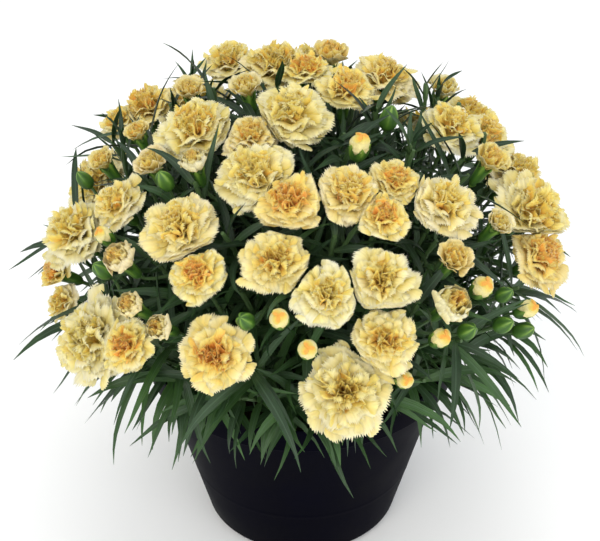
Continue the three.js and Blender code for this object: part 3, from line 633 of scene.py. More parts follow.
def grow_more_leaves(stems):
    for stem in stems:
        draw = drawer(12000 + stem["id"])
        for pair, (share, long) in enumerate(MORE_PAIRS[stem["kind"]]):
            at, axis, u, v = carried_frame(stem, share)
            for side in ([v, -v] if pair % 2 else [u, -u]):
                find_leaf(stem, at, axis, side, long, stem.get("droop", 0.2), draw, -1.7, 8)


fillers = grow_fillers()
grow_more_leaves(shoots + fillers + flower_stems + side_stems)
stems = flower_stems + side_stems + shoots + fillers

# ------------------------------------------------------------------ node trees

MATH, VECTOR, MIX = "ShaderNodeMath", "ShaderNodeVectorMath", "ShaderNodeMix"
NOISE, RANGE, RAMP = "ShaderNodeTexNoise", "ShaderNodeMapRange", "ShaderNodeValToRGB"
READ, SHAPE = "GeometryNodeInputNamedAttribute", "GeometryNodeObjectInfo"
ON_POINTS, RANDOM = "GeometryNodeInstanceOnPoints", "FunctionNodeRandomValue"


def add(tree, kind, links=None, **settings):
    """Adds a node with its settings, and sets or links its inputs by their number or name."""
    node = tree.nodes.new(kind)
    for name, value in settings.items():
        setattr(node, name, value)
    for key, value in (links or {}).items():
        if isinstance(value, bpy.types.Node):
            value = value.outputs[0]
        if isinstance(value, bpy.types.NodeSocket):
            tree.links.new(value, node.inputs[key])
        else:
            node.inputs[key].default_value = value
    return node


def new_tree(name, **inputs):
    """A geometry tree with a mesh going in and out, and one more named input for each keyword."""
    tree = bpy.data.node_groups.new(name, "GeometryNodeTree")
    face = tree.interface
    face.new_socket("Geometry", in_out="INPUT", socket_type="NodeSocketGeometry")
    for key, kind in inputs.items():
        face.new_socket(key, in_out="INPUT", socket_type=f"NodeSocket{kind}")
    face.new_socket("Geometry", in_out="OUTPUT", socket_type="NodeSocketGeometry")
    return tree, add(tree, "NodeGroupInput").outputs


def finish_tree(tree, last, material, sharp_from=1.0):
    """Realizes, smooths all but the edges sharper than an angle in radians, sets the material."""
    angle = add(tree, "GeometryNodeInputMeshEdgeAngle")
    real = add(tree, "GeometryNodeRealizeInstances", {0: last})
    sharp = add(tree, MATH, {0: angle, 1: sharp_from}, operation="GREATER_THAN")
    faces = add(tree, "GeometryNodeSetShadeSmooth", {0: real, 2: True}, domain="FACE")
    edges = add(tree, "GeometryNodeSetShadeSmooth", {0: faces, 1: sharp, 2: False}, domain="EDGE")
    dressed = add(tree, "GeometryNodeSetMaterial", {0: edges, 2: material})
    add(tree, "NodeGroupOutput", {0: dressed})


def linked(name, mesh):
    """An object in the scene that shows a mesh."""
    made = bpy.data.objects.new(name, mesh)
    bpy.context.scene.collection.objects.link(made)
    return made


def applied(holder):
    """The mesh that an object has with its modifiers."""
    view = bpy.context.evaluated_depsgraph_get()
    return bpy.data.meshes.new_from_object(holder.evaluated_get(view), depsgraph=view)


# What only the trees read.
GROWTH_NUMBERS = {
    "p0", "p1", "p2", "side", "wave", "waves", "phase", "fold", "margin", "size", "axis", "thick",
    "up",
}


def piece_from(tree, name, start, **values):
    """Runs a tree on a starting mesh and keeps the result as a plain mesh piece."""
    holder = linked(name, start)
    change = holder.modifiers.new("growth", "NODES")
    change.node_group = tree
    for item in tree.interface.items_tree:
        if item.in_out == "INPUT" and item.name in values:
            change[item.identifier] = values[item.name]
    mesh = applied(holder)
    holder.modifiers.remove(change)
    holder.data = mesh
    mesh.name = name
    mesh.materials.clear()
    mesh.materials.append(values["Material"])
    for used in [a.name for a in mesh.attributes if a.name in GROWTH_NUMBERS]:
        mesh.attributes.remove(mesh.attributes[used])
    bpy.data.meshes.remove(start)
    return holder


def mesh_of(name, points, faces=(), edges=(), **attributes):
    """A mesh from points in millimetres, with an attribute on its points for each keyword."""
    mesh = bpy.data.meshes.new(name)
    mesh.from_pydata((np.asarray(points, float) * MM).tolist(), edges, faces)
    for key, values in attributes.items():
        values = np.asarray(values, float)
        kind, field = ("FLOAT_VECTOR", "vector") if values.ndim == 2 else ("FLOAT", "value")
        mesh.attributes.new(key, kind, "POINT").data.foreach_set(field, values.ravel())
    return mesh


def rails_tree():
    """Runs a section along every chain of edges: scaled by `thick`, turned to `up`."""
    tree, given = new_tree("rails", Material="Material", Section="Object")
    rail = add(tree, "GeometryNodeMeshToCurve", {0: given["Geometry"]})
    up = add(tree, READ, {0: "up"}, data_type="FLOAT_VECTOR")
    turned = add(tree, "GeometryNodeSetCurveNormal", {0: rail, 2: up}, mode="FREE")
    shape = add(tree, SHAPE, {0: given["Section"]})
    ring = add(tree, "GeometryNodeMeshToCurve", {0: shape.outputs["Geometry"]})
    thick = add(tree, READ, {0: "thick"}, data_type="FLOAT")
    tube = add(tree, "GeometryNodeCurveToMesh", {0: turned, 1: ring, 2: thick, 3: True})
    finish_tree(tree, tube, given["Material"])
    return tree


def copies_tree():
    """Sets a copy of a template on every point: along `axis`, turned to `side`, sized by `size`."""
    tree, given = new_tree("copies_on_points", Template="Object", Material="Material")
    shape = add(tree, SHAPE, {0: given["Template"]})
    axis, side, size = [
        add(tree, READ, {0: key}, data_type="FLOAT_VECTOR") for key in ("axis", "side", "size")
    ]
    way = add(
        tree, "FunctionNodeAxesToRotation", {0: axis, 1: side}, primary_axis="Z", secondary_axis="X",
    )
    where = {0: given["Geometry"], 2: shape.outputs["Geometry"], 5: way, 6: size}
    finish_tree(tree, add(tree, ON_POINTS, where), given["Material"])
    return tree


# Waves across a petal, in radians from its middle to its side: of its outline and of its frill.
OUTLINE_WAVE = 6.5
FRILL_WAVE = 9.0
OUTLINE_DEPTH = 0.035  # share of the petal's length
RUFFLE_GROWTH = 1.6  # the power with which ruffles and bowl grow towards the edge


def petals_tree():
    """Bends a flat blade along each point's bow p0 p1 p2, and ruffles, folds and frills it."""
    tree, given = new_tree(
        "petals", Blade="Object", Material="Material", Thickness="Float", Frill="Float",
    )
    shape = add(tree, SHAPE, {0: given["Blade"]})
    copies = add(tree, ON_POINTS, {0: given["Geometry"], 2: shape.outputs["Geometry"]})
    real = add(tree, "GeometryNodeRealizeInstances", {0: copies})
    flat, p0, p1, p2, side = [
        add(tree, READ, {0: key}, data_type="FLOAT_VECTOR")
        for key in ("flat", "p0", "p1", "p2", "side")
    ]
    across, margin, wave, waves, phase, fold = [
        add(tree, READ, {0: key}, data_type="FLOAT")
        for key in ("across", "margin", "wave", "waves", "phase", "fold")
    ]
    wide, along, face = add(tree, "ShaderNodeSeparateXYZ", {0: flat}).outputs

    # a wave each for the outline, the ruffles and the frill
    sines = []
    for radians in (OUTLINE_WAVE, waves, FRILL_WAVE):
        angle = add(tree, MATH, {0: across, 1: radians, 2: phase}, operation="MULTIPLY_ADD")
        sines.append(add(tree, MATH, {0: angle}, operation="SINE"))
    outline, ruffle, frill = sines
    edge = add(tree, MATH, {0: outline, 1: margin}, operation="MULTIPLY")
    up = add(tree, MATH, {0: edge, 1: OUTLINE_DEPTH, 2: along}, operation="MULTIPLY_ADD")

    # the bow that the middle of the petal follows
    def blend(a, b):
        ends = {0: up, 4: a, 5: b}
        return add(tree, MIX, ends, data_type="VECTOR", clamp_factor=False).outputs[1]

    low, high = blend(p0, p1), blend(p1, p2)
    middle = blend(low, high)
    tangent = add(tree, VECTOR, {0: high, 1: low}, operation="SUBTRACT")
    square = add(tree, VECTOR, {0: side, 1: tangent}, operation="CROSS_PRODUCT")
    normal = add(tree, VECTOR, {0: square}, operation="NORMALIZE")

    # how far each place stands off the bow: by its ruffle, its bowl, its frill and its thickness
    grown = add(tree, MATH, {0: along, 1: RUFFLE_GROWTH}, operation="POWER")
    bowl = add(tree, MATH, {0: across, 1: across}, operation="MULTIPLY")
    off = 0.0
    for shift, size, share in (
        (ruffle, wave, grown), (bowl, fold, grown), (frill, given["Frill"], margin),
        (face, given["Thickness"], 1.0),
    ):
        high_part = add(tree, MATH, {0: shift, 1: size}, operation="MULTIPLY")
        off = add(tree, MATH, {0: high_part, 1: share, 2: off}, operation="MULTIPLY_ADD")
    aside = add(tree, VECTOR, {0: side, 3: wide}, operation="SCALE")
    out = add(tree, VECTOR, {0: normal, 3: off}, operation="SCALE")
    reach = add(tree, VECTOR, {0: middle, 1: aside}, operation="ADD")
    place = add(tree, VECTOR, {0: reach, 1: out}, operation="ADD")
    moved = add(tree, "GeometryNodeSetPosition", {0: real, 2: place})
    finish_tree(tree, moved, given["Material"], sharp_from=1.6)
    return tree


# ------------------------------------------------------------------ materials


def colour(code):
    """A colour from its sRGB hex code, turned linear."""
    parts = [int(code[i:i + 2], 16) / 255 for i in (1, 3, 5)]
    linear = [p / 12.92 if p <= 0.04045 else ((p + 0.055) / 1.055) ** 2.4 for p in parts]
    return (*linear, 1.0)


def new_material(name, **sockets):
    """A material with its principled shader, whose constant values are set on its own sockets."""
    made = bpy.data.materials.new(name)
    made.use_nodes = True
    shader = made.node_tree.nodes["Principled BSDF"]
    for key, value in sockets.items():
        shader.inputs[key.replace("_", " ")].default_value = value
    return made, made.node_tree, shader.inputs


def set_ramp(node, *stops):
    """Gives a colour ramp its stops: (place, hex colour) each."""
    ramp = node.color_ramp
    while len(ramp.elements) < len(stops):
        ramp.elements.new(1.0)
    for element, (place, code) in zip(ramp.elements, stops):
        element.position = place
        element.color = colour(code)
    return node


def toned(tree, value, *stops):
    """The colour of a ramp with the given stops at a value."""
    return set_ramp(add(tree, RAMP, {0: value}), *stops).outputs[0]


def swayed(tree, value, cloud, by):
    """A value that a cloudy pattern sways up and down, by half of `by` each way."""
    mixed = add(tree, MATH, {0: cloud, 1: by, 2: value}, operation="MULTIPLY_ADD")
    return add(tree, MATH, {0: mixed, 1: by / 2}, operation="SUBTRACT")


def patches(tree, scale, detail):
    """A cloudy pattern of so many patches a metre, fixed to the piece."""
    place = add(tree, "ShaderNodeTexCoord").outputs["Object"]
    return add(tree, NOISE, {"Vector": place, "Scale": scale, "Detail": detail}).outputs["Fac"]


def surface(tree, shader, tone, height, strength, depth):
    """Links the colour, and a bump of a strength and a depth in metres."""
    tree.links.new(tone, shader["Base Color"])
    bump = add(
        tree, "ShaderNodeBump", {"Strength": strength, "Distance": depth, "Height": height},
    )
    tree.links.new(bump.outputs[0], shader["Normal"])


def petal_material():
    """Carnation petal: thin, matt and slightly velvety, so it glows a little against the light."""
    made, tree, shader = new_material(
        "carnation_petal", Roughness=0.62, IOR=1.4, Specular_IOR_Level=0.2,
        Subsurface_Weight=0.5, Subsurface_Radius=(1.0, 0.9, 0.7), Subsurface_Scale=0.0003,
        Sheen_Weight=0.03, Sheen_Roughness=0.5,
    )
    flat = add(tree, "ShaderNodeAttribute", attribute_name="flat")
    along = add(tree, "ShaderNodeSeparateXYZ", {0: flat.outputs["Vector"]}).outputs[1]
    warm, across, claw_colour_and_glow, blush = [
        add(tree, "ShaderNodeAttribute", attribute_name=key).outputs["Fac"]
        for key in ("warm", "across", "claw_colour_and_glow", "blush")
    ]
    # the colour deepens down the petal towards its claw: partly the petal's own deeper colour,
    # partly a painted glow of light through the petals where each ring lies in the shaded crevice
    # under the next
    depth = add(tree, RANGE, {0: along, 1: 0.5, 2: 1.0, 3: 1.0, 4: 0.0})
    summed = add(tree, MATH, {0: depth, 1: claw_colour_and_glow, 2: warm}, operation="MULTIPLY_ADD")
    # blotches some 6 mm wide
    tone = toned(
        tree, swayed(tree, summed, patches(tree, 160.0, 2.0), 0.2),
        (0.0, "#E6E1C0"), (0.25, "#E4D99A"), (0.5, "#E3CF70"), (0.75, "#E8C65C"), (1.0, "#ECAD52"),
    )
    blushed = add(tree, MIX, {0: blush, 6: tone, 7: colour("#F0D090")}, data_type="RGBA")
    # pleats that fan out from the claw, one to two millimetres apart and never quite even
    fan = add(tree, "ShaderNodeCombineXYZ", {0: across, 1: along, 2: warm})
    spread = add(tree, VECTOR, {0: fan, 1: (9.0, 1.3, 40.0)}, operation="MULTIPLY")
    vein = add(tree, NOISE, {"Vector": spread, "Scale": 1.0, "Detail": 2.0}).outputs["Fac"]
    vein_tone = add(tree, RANGE, {0: vein, 1: 0.3, 2: 0.7, 3: 0.88, 4: 1.04})
    shaded = add(
        tree, MIX, {0: 1.0, 6: blushed.outputs[2], 7: vein_tone},
        data_type="RGBA", blend_type="MULTIPLY",
    )
    surface(tree, shader, shaded.outputs[2], vein, 0.5, 0.001)
    return made


def leaf_material():
    """Carnation leaf: smooth, with a waxy bluish bloom over dark green and a paler midrib."""
    made, tree, shader = new_material(
        "waxy_leaf", Roughness=0.42, IOR=1.45, Specular_IOR_Level=0.36,
        Subsurface_Weight=0.05, Subsurface_Radius=(0.3, 0.6, 0.2), Subsurface_Scale=0.001,
    )
    across, along, lighter_green = [
        add(tree, "ShaderNodeAttribute", attribute_name=key).outputs["Fac"]
        for key in ("across", "along", "lighter_green")
    ]
    # the green is lighter the lower a leaf's foot, and at random
    # patches some 11 mm wide
    tone = toned(
        tree, swayed(tree, lighter_green, patches(tree, 90.0, 3.0), 0.5),
        (0.0, "#1A2A1C"), (0.4, "#263C22"), (0.7, "#334F28"), (1.0, "#40652E"),
    )
    # a paler midrib, then a yellower foot: where it is, how strong, and its colour
    for where, strong, code in ((across, 0.36, "#506A50"), (along, 0.45, "#4C6636")):
        near = add(tree, RANGE, {0: where, 1: 0.0, 2: 0.22, 3: strong, 4: 0.0})
        tone = add(tree, MIX, {0: near, 6: tone, 7: colour(code)}, data_type="RGBA").outputs[2]
    # parallel veins half a millimetre apart are drawn at one millimetre
    vein_angle = add(tree, MATH, {0: across, 1: 18.0}, operation="MULTIPLY")
    vein = add(tree, MATH, {0: vein_angle}, operation="SINE")
    surface(tree, shader, tone, vein, 0.2, 0.0003)
    return made


def green_material(name, low, middle, high, scale):
    """Stem or calyx: firm green skin with a thin waxy bloom, paler where it is stretched; a calyx or
    bud also gets painted shade in the grooves between its teeth.
    """
    made, tree, shader = new_material(
        name, Roughness=0.46, IOR=1.45, Specular_IOR_Level=0.45,
        Subsurface_Weight=0.08, Subsurface_Radius=(0.4, 0.7, 0.2), Subsurface_Scale=0.001,
    )
    cloud = patches(tree, scale, 3.0)
    along = add(tree, "ShaderNodeAttribute", attribute_name="along").outputs["Fac"]
    tone = toned(tree, swayed(tree, along, cloud, 0.6), (0.0, low), (0.5, middle), (1.0, high))
    surface(tree, shader, tone, cloud, 0.15, 0.0003)
    return made


def pot_material():
    """Injection-moulded polypropylene, black: satin, with a faint grain and a bluish sheen."""
    made, tree, shader = new_material("moulded_black_plastic", IOR=1.49, Specular_IOR_Level=0.02)
    # patches some 33 mm wide
    cloud = patches(tree, 30.0, 4.0)
    tone = toned(tree, cloud, (0.3, "#010108"), (0.7, "#03030E"))
    rough = add(tree, RANGE, {0: cloud, 1: 0.3, 2: 0.7, 3: 0.44, 4: 0.56})
    tree.links.new(rough.outputs[0], shader["Roughness"])
    # moulding grain of about a third of a millimetre, drawn at one
    surface(tree, shader, tone, patches(tree, 1000.0, 1.0), 0.08, 0.0003)
    return made


def soil_material():
    """Moist peat compost: crumbly, dark brown and matt."""
    made, tree, shader = new_material(
        "peat_compost", Roughness=0.95, IOR=1.4, Specular_IOR_Level=0.2,
    )
    # crumbs some 3 mm wide
    cloud = patches(tree, 350.0, 6.0)
    tone = toned(tree, cloud, (0.3, "#17100B"), (0.6, "#2E2016"), (0.8, "#4A3626"))
    surface(tree, shader, tone, cloud, 0.8, 0.001)
    return made


PETAL = petal_material()
LEAVES = leaf_material()
STEMS = green_material("waxy_stem", "#344A2C", "#465F36", "#5F7A45", 120.0)
CALYCES = green_material("firm_calyx", "#26451C", "#42691F", "#84A243", 160.0)
PLASTIC = pot_material()
PEAT = soil_material()

# ------------------------------------------------------------------ shapes that are copied


def lathe(rings):
    """Points and faces of rings of equal count, closed at each end to a point at its middle."""
    count = len(rings[0])
    points = [p for ring in rings for p in ring]
    faces = []
    for low in range(0, (len(rings) - 1) * count, count):
        for i in range(count):
            j = (i + 1) % count
            faces.append((low + i, low + j, low + count + j, low + count + i))
    points.append(np.mean(rings[0], axis=0))
    faces += [((i + 1) % count, i, len(points) - 1) for i in range(count)]
    last = (len(rings) - 1) * count
    points.append(np.mean(rings[-1], axis=0))
    faces += [(last + i, last + (i + 1) % count, len(points) - 1) for i in range(count)]
    return np.array(points), faces


def turned_ring(count, shape, twist=0.0):
    """A ring round +Z: shape(angle) gives (radius, height)."""
    ring = []
    for i in range(count):
        angle = 2 * math.pi * i / count
        radius, height = shape(angle)
        ring.append([radius * math.cos(angle + twist), radius * math.sin(angle + twist), height])
    return ring


def tooth(angle):
    """1 at each of five tooth tips and 0 half way between."""
    return abs(1 - (angle * 5 / math.pi) % 2)


def stripes_and_groove_shade(points, share):
    """How light the green is: dark between the teeth, partly the calyx's own stripes and partly
    painted shade in the grooves there, and yellowish at their tips.
    """
    teeth = tooth(np.arctan2(points[:, 1], points[:, 0]) % (2 * math.pi))
    return 0.2 + 0.25 * share + 0.75 * (teeth - 0.4) * np.clip(share, 0, 1)


CALYX_SIDES = 20
# Outside of a calyx: height from its foot to its mouth as a share, and radius as a share of the
# mouth's.
CALYX_WALL = [(0.0, 0.3), (0.05, 0.5), (0.16, 0.68), (0.4, 0.74), (0.65, 0.78), (0.85, 0.88)]


def calyx_template():
    """Ribbed tube with five pointed teeth, hollow at the top, in millimetres."""
    long, mouth = CALYX["length"], CALYX["mouth"]
    rings = [
        turned_ring(CALYX_SIDES, lambda a: (
            radius * mouth * (1 + 0.05 * share * math.cos(5 * a)), share * long,
        )) for share, radius in CALYX_WALL
    ]
    rings += [
        turned_ring(CALYX_SIDES, lambda a: (
            mouth * (out + 0.06 * tooth(a)), long + high + 3.4 * tooth(a) ** 1.4 - 1.6,
        )) for out, high in ((1.0, 0.0), (0.93, -0.1))
    ]
    rings += [
        turned_ring(CALYX_SIDES, lambda a: (mouth * out, long + high))
        for out, high in ((0.8, -2.2), (0.6, -3.5))
    ]
    points, faces = lathe(rings)
    # the green darkens between the teeth, partly painted shade in the grooves there
    return mesh_of("calyx", points, faces, along=stripes_and_groove_shade(points, points[:, 2] / long))


# Scales at the foot of a calyx: radius, height between their tips, and how far the tips rise.
BRACT_WALL = [(1.3, -0.6, 0.0), (2.3, 0.8, 0.4), (3.0, 2.2, 2.6), (2.7, 2.0, 2.4), (1.0, 0.5, 0.0)]


def bract_template():
    """Small pointed scales that clasp the foot of a calyx, as one closed collar."""
    rings = [
        turned_ring(16, lambda a: (radius, low + high * abs(math.cos(2 * a)) ** 0.7))
        for radius, low, high in BRACT_WALL
    ]
    points, faces = lathe(rings)
    return mesh_of("bract", points, faces, along=np.full(len(points), 0.7))


# Of a bud, as shares of half its width: its length, how much shorter a green one is, and how far
# below its middle the stem ends.
BUD_LONG = 3.4
GREEN_SHORTER = 0.5
BUD_FOOT = 1.95
OPEN_RIM = [(1.08, 0.0), (1.0, -0.05), (0.8, -0.4)]  # radius and height of the rings round a hole


def bud_template(open_tip):
    """Egg-shaped calyx of a bud, 2 wide: its five teeth meet at the tip, or stand round a hole."""
    wall = [(0.0, 0.25), (0.04, 0.5), (0.12, 0.76)]
    if open_tip:
        long = BUD_LONG
        wall += [(0.24, 0.94), (0.36, 1.04)]
    else:
        long = BUD_LONG - GREEN_SHORTER
        wall += [(0.25, 0.93), (0.42, 0.99), (0.58, 0.95)]
        wall += [(0.72, 0.83), (0.84, 0.62), (0.93, 0.37), (1.0, 0.1)]
    rings = []
    for share, radius in wall:
        groove = max(0.0, share - 0.2) * 0.5 * radius
        rings.append(turned_ring(
            CALYX_SIDES, lambda a: (radius * (1 - groove * (1 - tooth(a)) ** 2), share * long),
        ))
    for out, high in (OPEN_RIM if open_tip else []):
        rings.append(turned_ring(
            CALYX_SIDES, lambda a: (out, long * (0.42 + 0.28 * tooth(a) ** 1.3) + high),
        ))
    points, faces = lathe(rings)
    # the green darkens between the teeth, partly painted shade in the grooves there
    tone = stripes_and_groove_shade(points, points[:, 2] / long * (1.6 if open_tip else 1.0))
    points[:, 2] -= BUD_FOOT
    return mesh_of("bud", points, faces, along=tone)


# Outside of the furled petals: height and radius, as a bud's.
TIP_WALL = [
    (0.2, 0.7), (0.38, 0.93), (0.54, 1.03), (0.68, 1.02), (0.8, 0.9), (0.89, 0.68), (0.95, 0.42),
    (0.98, 0.2),
]
TIP_TWIST = 5.0  # radians from foot to tip


def bud_tip_template():
    """The furled petals that push out of a bud: a rounded cone with spiral folds."""
    rings = []
    for share, radius in TIP_WALL:
        fold = 0.09 * (share - 0.25)

        def shape(a):
            lap = (a * 3 / math.pi) % 2 - 1
            return radius * (1 + fold * 2 * lap), share * BUD_LONG + 0.1 * lap * share

        rings.append(turned_ring(24, shape, share * TIP_TWIST))
    points, faces = lathe(rings)
    share = points[:, 2] / BUD_LONG
    points[:, 2] -= BUD_FOOT
    angle = np.arctan2(points[:, 1], points[:, 0])
    spiral = 0.9 + 0.25 * np.sin(3 * angle - TIP_TWIST * share)
    warm = 0.24 + np.clip((share - 0.84) * 7.5, 0, 1) * spiral
    flat = np.tile([0.0, 1.0, 0.0], (len(points), 1))
    return mesh_of("bud_tip", points, faces, warm=warm, flat=flat, across=angle / 3)


# Petal blade: rows from the claw to the blade, and how wide each is; the edge has finer steps.
BLADE_ROWS = [(0.0, 0.1), (0.24, 0.14), (0.42, 0.34), (0.58, 0.68), (0.74, 0.93), (0.9, 1.0)]
BLADE_COLUMNS = 12
EDGE_STEPS = 5  # steps of the toothed edge for each column
TOOTH = 0.036  # half the depth of a tooth, as a share of the petal's length


def petal_blade():
    """A flat petal, closed all round: two sheets that share their outline and toothed edge."""
    draw = drawer(4)
    points = []

    def corner(across, along, wide, face, margin):
        points.append((across, along, wide, face, margin))
        return len(points) - 1

    def arc(across):
        return -0.1 * across**2 - 0.2 * across**6

    top_rows, low_rows = [], []
    for along, wide in BLADE_ROWS:
        drop = max(0.0, (along - 0.4) / 0.6)
        margin = max(0.0, (along - 0.5) / 0.5) ** 2
        top, low = [], []
        for across in np.linspace(-1, 1, BLADE_COLUMNS + 1):
            place = (across, along + arc(across) * drop, across * wide)
            shared = along == 0 or abs(across) == 1
            top.append(corner(*place, 0.0 if shared else 1.0, margin))
            low.append(top[-1] if shared else corner(*place, -1.0, margin))
        top_rows.append(top)
        low_rows.append(low)
    edge = []
    count = BLADE_COLUMNS * EDGE_STEPS
    for k in range(count + 1):
        shifted = k + (draw() - 0.5) * 0.7 if 0 < k < count else k
        across = -1 + 2 * shifted / count
        high = 1.0 + arc(across) + (TOOTH if k % 2 else -TOOTH) * (0.3 + 1.3 * draw())
        edge.append(corner(across, high, across * 1.02, 0.0, 1.0))
    faces = []
    for rows, turned in ((top_rows, False), (low_rows, True)):
        sheet = []
        for row, after in zip(rows, rows[1:]):
            sheet += [(row[i], row[i + 1], after[i + 1], after[i]) for i in range(BLADE_COLUMNS)]
        last = rows[-1]
        for i in range(BLADE_COLUMNS):
            e = edge[i * EDGE_STEPS: (i + 1) * EDGE_STEPS + 1]
            # the outermost columns fan out from their inner corner, which the sheets don't share
            turn = {0: 0, BLADE_COLUMNS - 1: EDGE_STEPS}.get(i, EDGE_STEPS // 2)
            sheet += [(last[i], e[k + 1], e[k]) for k in range(turn)]
            sheet.append((last[i], last[i + 1], e[turn]))
            sheet += [(last[i + 1], e[k + 1], e[k]) for k in range(turn, EDGE_STEPS)]
        faces += [face[::-1] for face in sheet] if turned else sheet
    table = np.array(points)
    flat = table[:, [2, 1, 3]]
    return mesh_of(
        "petal_blade", flat, faces, flat=flat, across=table[:, 0], margin=table[:, 4],
    )


# Section of a leaf in shares of its half width: a shallow V on top with a keel below.
LEAF_SECTION = [(0.2, -1.0), (-0.26, 0.0), (0.2, 1.0), (0.0, 0.0)]
STEM_SIDES = 6


def section(name, places, across):
    """A closed outline one unit large, which `thick` scales along each rail."""
    edges = [(i, (i + 1) % len(places)) for i in range(len(places))]
    return mesh_of(name, [(x / MM, y / MM, 0.0) for x, y in places], edges=edges, across=across)


round_places = [
    (math.cos(2 * math.pi * i / STEM_SIDES), math.sin(2 * math.pi * i / STEM_SIDES))
    for i in range(STEM_SIDES)
]
# Objects that the trees copy and that aren't part of the plant itself.
SHAPES = {
    name: bpy.data.objects.new(name + "_shape", mesh) for name, mesh in (
        ("leaf_section", section("leaf_section", LEAF_SECTION, [1.0, 0.0, 1.0, 0.0])),
        ("stem_section", section("stem_section", round_places, [0.0] * STEM_SIDES)),
        ("calyx", calyx_template()), ("bract", bract_template()),
        ("green_bud", bud_template(False)), ("open_bud", bud_template(True)),
        ("furled", bud_tip_template()), ("blade", petal_blade()),
    )
}

RAILS = rails_tree()
COPIES = copies_tree()
PETALS = petals_tree()

# ------------------------------------------------------------------ building the plants

TURN = 6.28  # a full turn in radians, for directions drawn at random


def through(points, count):
    """A smooth line through some points, at even steps from one to the next."""
    points = np.asarray(points)
    padded = np.vstack([2 * points[0] - points[1], points, 2 * points[-1] - points[-2]])
    places = []
    for u in np.linspace(0, len(points) - 1, count):
        i = min(int(u), len(points) - 2)
        t = u - i
        a, b, c, d = padded[i:i + 4]
        places.append(0.5 * (
            2 * b + (c - a) * t + (2 * a - 5 * b + 4 * c - d) * t * t
            + (3 * b - a - 3 * c + d) * t**3
        ))
    return np.array(places)


LEAF_POINTS = 9
SKIRT_TIPS = 110  # leaves whose tips are planned lower than this hang as a skirt
# Of skirt leaves and of the others: share of the planned length, and how far they curl down.
SKIRT_LEAF = (0.68, 0.42)
OTHER_LEAF = (0.97, 0.18)
TUFT_WIDTH = 0.68
LOWEST_TIP = 94  # about where the longest hanging leaves end
LEAST_DROP = 16  # what a hanging leaf drops at least from its foot
# How much higher they end for each millimetre that they reach to the front beyond a distance.
FRONT_SHORTER = 0.7
FRONT_FROM = 85


def leaf_outline(share):
    """Half width along a leaf: clasping foot, widest at a third, long tapered tip."""
    widest = 0.34
    if share < widest:
        return 1 - 0.55 * (1 - share / widest) ** 2
    return max(0.035, 1 - ((share - widest) / (1 - widest)) ** 1.8)


class Rails:
    """Gathers chains of points with their thickness, upward direction and other attributes."""

    def __init__(self):
        self.points, self.edges = [], []
        self.rows = {"thick": [], "up": [], "along": [], "lighter_green": []}

    def chain(self, points, thick, up, along, lighter_green):
        start = len(self.points)
        self.points += list(points)
        self.edges += [(start + i, start + i + 1) for i in range(len(points) - 1)]
        more = {
            "thick": np.asarray(thick) * MM, "up": up, "along": along,
            "lighter_green": [lighter_green] * len(points),
        }
        for key, values in more.items():
            self.rows[key] += list(values)

    def mesh(self, name):
        return mesh_of(name, self.points, edges=self.edges, **self.rows)


FRONT_LIGHT = climbing(0, 35)
TURNING = 0.8  # how much the blooms turn to the front, where the light comes from


def turned_forward(axis, lift):
    """The axis a flower's petals spread round: all but the low ones at the back turn a little."""
    if lift < 45 and axis @ FRONT_LIGHT < -0.1:
        return axis
    return unit(axis + FRONT_LIGHT * TURNING * max(0.0, 0.85 - axis @ FRONT_LIGHT))


def hides_bloom(line):
    """Whether a leaf passes in front of the face of a bloom, where none grows."""
    for bloom in blooms:
        axis = turned_forward(bloom["axis"], BLOOMS[bloom["index"]][1])
        away = line - bloom["base"]
        high = away @ axis
        flat = np.linalg.norm(away - np.outer(high, axis), axis=1)
        near = (high > 0.15 * bloom["radius"]) & (high < 2.2 * bloom["radius"])
        if np.any(near & (flat < 0.92 * bloom["radius"])):
            return True
    return False


def stems_of(plant):
    return [stem for stem in stems if stem["plant"] == plant]


def leaf_ups(line, axis, twists):
    """Which way the upper side of a leaf faces at each of its points."""
    ups = []
    for i, twist in enumerate(twists):
        along = unit(line[min(i + 1, LEAF_POINTS - 1)] - line[max(i - 1, 0)])
        across = cross(axis, along)
        if length(across) < 0.05:
            across = cross(Z, along)
        up = unit(cross(along, across))
        up = up if up @ axis > 0 else -up
        ups.append(between(up, cross(along, up), twist))
    return ups


def leaf_rails(plant):
    rails = Rails()
    draw = drawer(300 + plant)
    shares = np.linspace(0, 1, LEAF_POINTS)
    for leaf, kind in [(leaf, stem["kind"]) for stem in stems_of(plant) for leaf in stem["leaves"]]:
        line = through(leaf["line"], LEAF_POINTS)
        long = length(line[-1] - line[0])
        kept, most_curl = SKIRT_LEAF if line[-1][2] < SKIRT_TIPS else OTHER_LEAF
        line = line[0] + (line - line[0]) * kept
        level = cross(line[-1] - line[0], Z) / long
        bow = (draw() - 0.5) * 0.56 * long
        curl = draw() * most_curl * long
        line += np.outer(np.sin(shares * 2.4) * shares * bow, level)
        line -= np.outer(shares**3 * curl, Z)
        wide = leaf["width"] * (0.76 + 0.3 * draw()) * (TUFT_WIDTH if kind == "tuft" else 1)
        foot, tip = line[0], line[-1]
        lowest = LOWEST_TIP + (draw() - 0.5) * 18
        lowest += FRONT_SHORTER * max(0.0, -tip[1] - FRONT_FROM)
        lowest = min(lowest, foot[2] - LEAST_DROP)
        if tip[2] < lowest:
            kept = (foot[2] - lowest) / (foot[2] - tip[2])
            line = foot + (line - foot) * kept
        twist = (draw() - 0.5) * 2.4
        if hides_bloom(line):
            continue
        # a lighter green the lower the leaf's foot, half of it at random
        low = 1 - (leaf["line"][0][2] - 100) / 160
        lighter_green = min(1.0, max(0.0, low * 0.5 + draw() * 0.5))
        thick = [wide * leaf_outline(share) for share in shares]
        rails.chain(line, thick, leaf_ups(line, leaf["axis"], twist * shares), shares, lighter_green)
    return rails.mesh("leaf_rails")


KNOT = 0.4  # how much thicker a stem is where leaves grow, as a share
CROWN_RADII = [3.0, 5.5, 6.4, 5.2, 2.5]


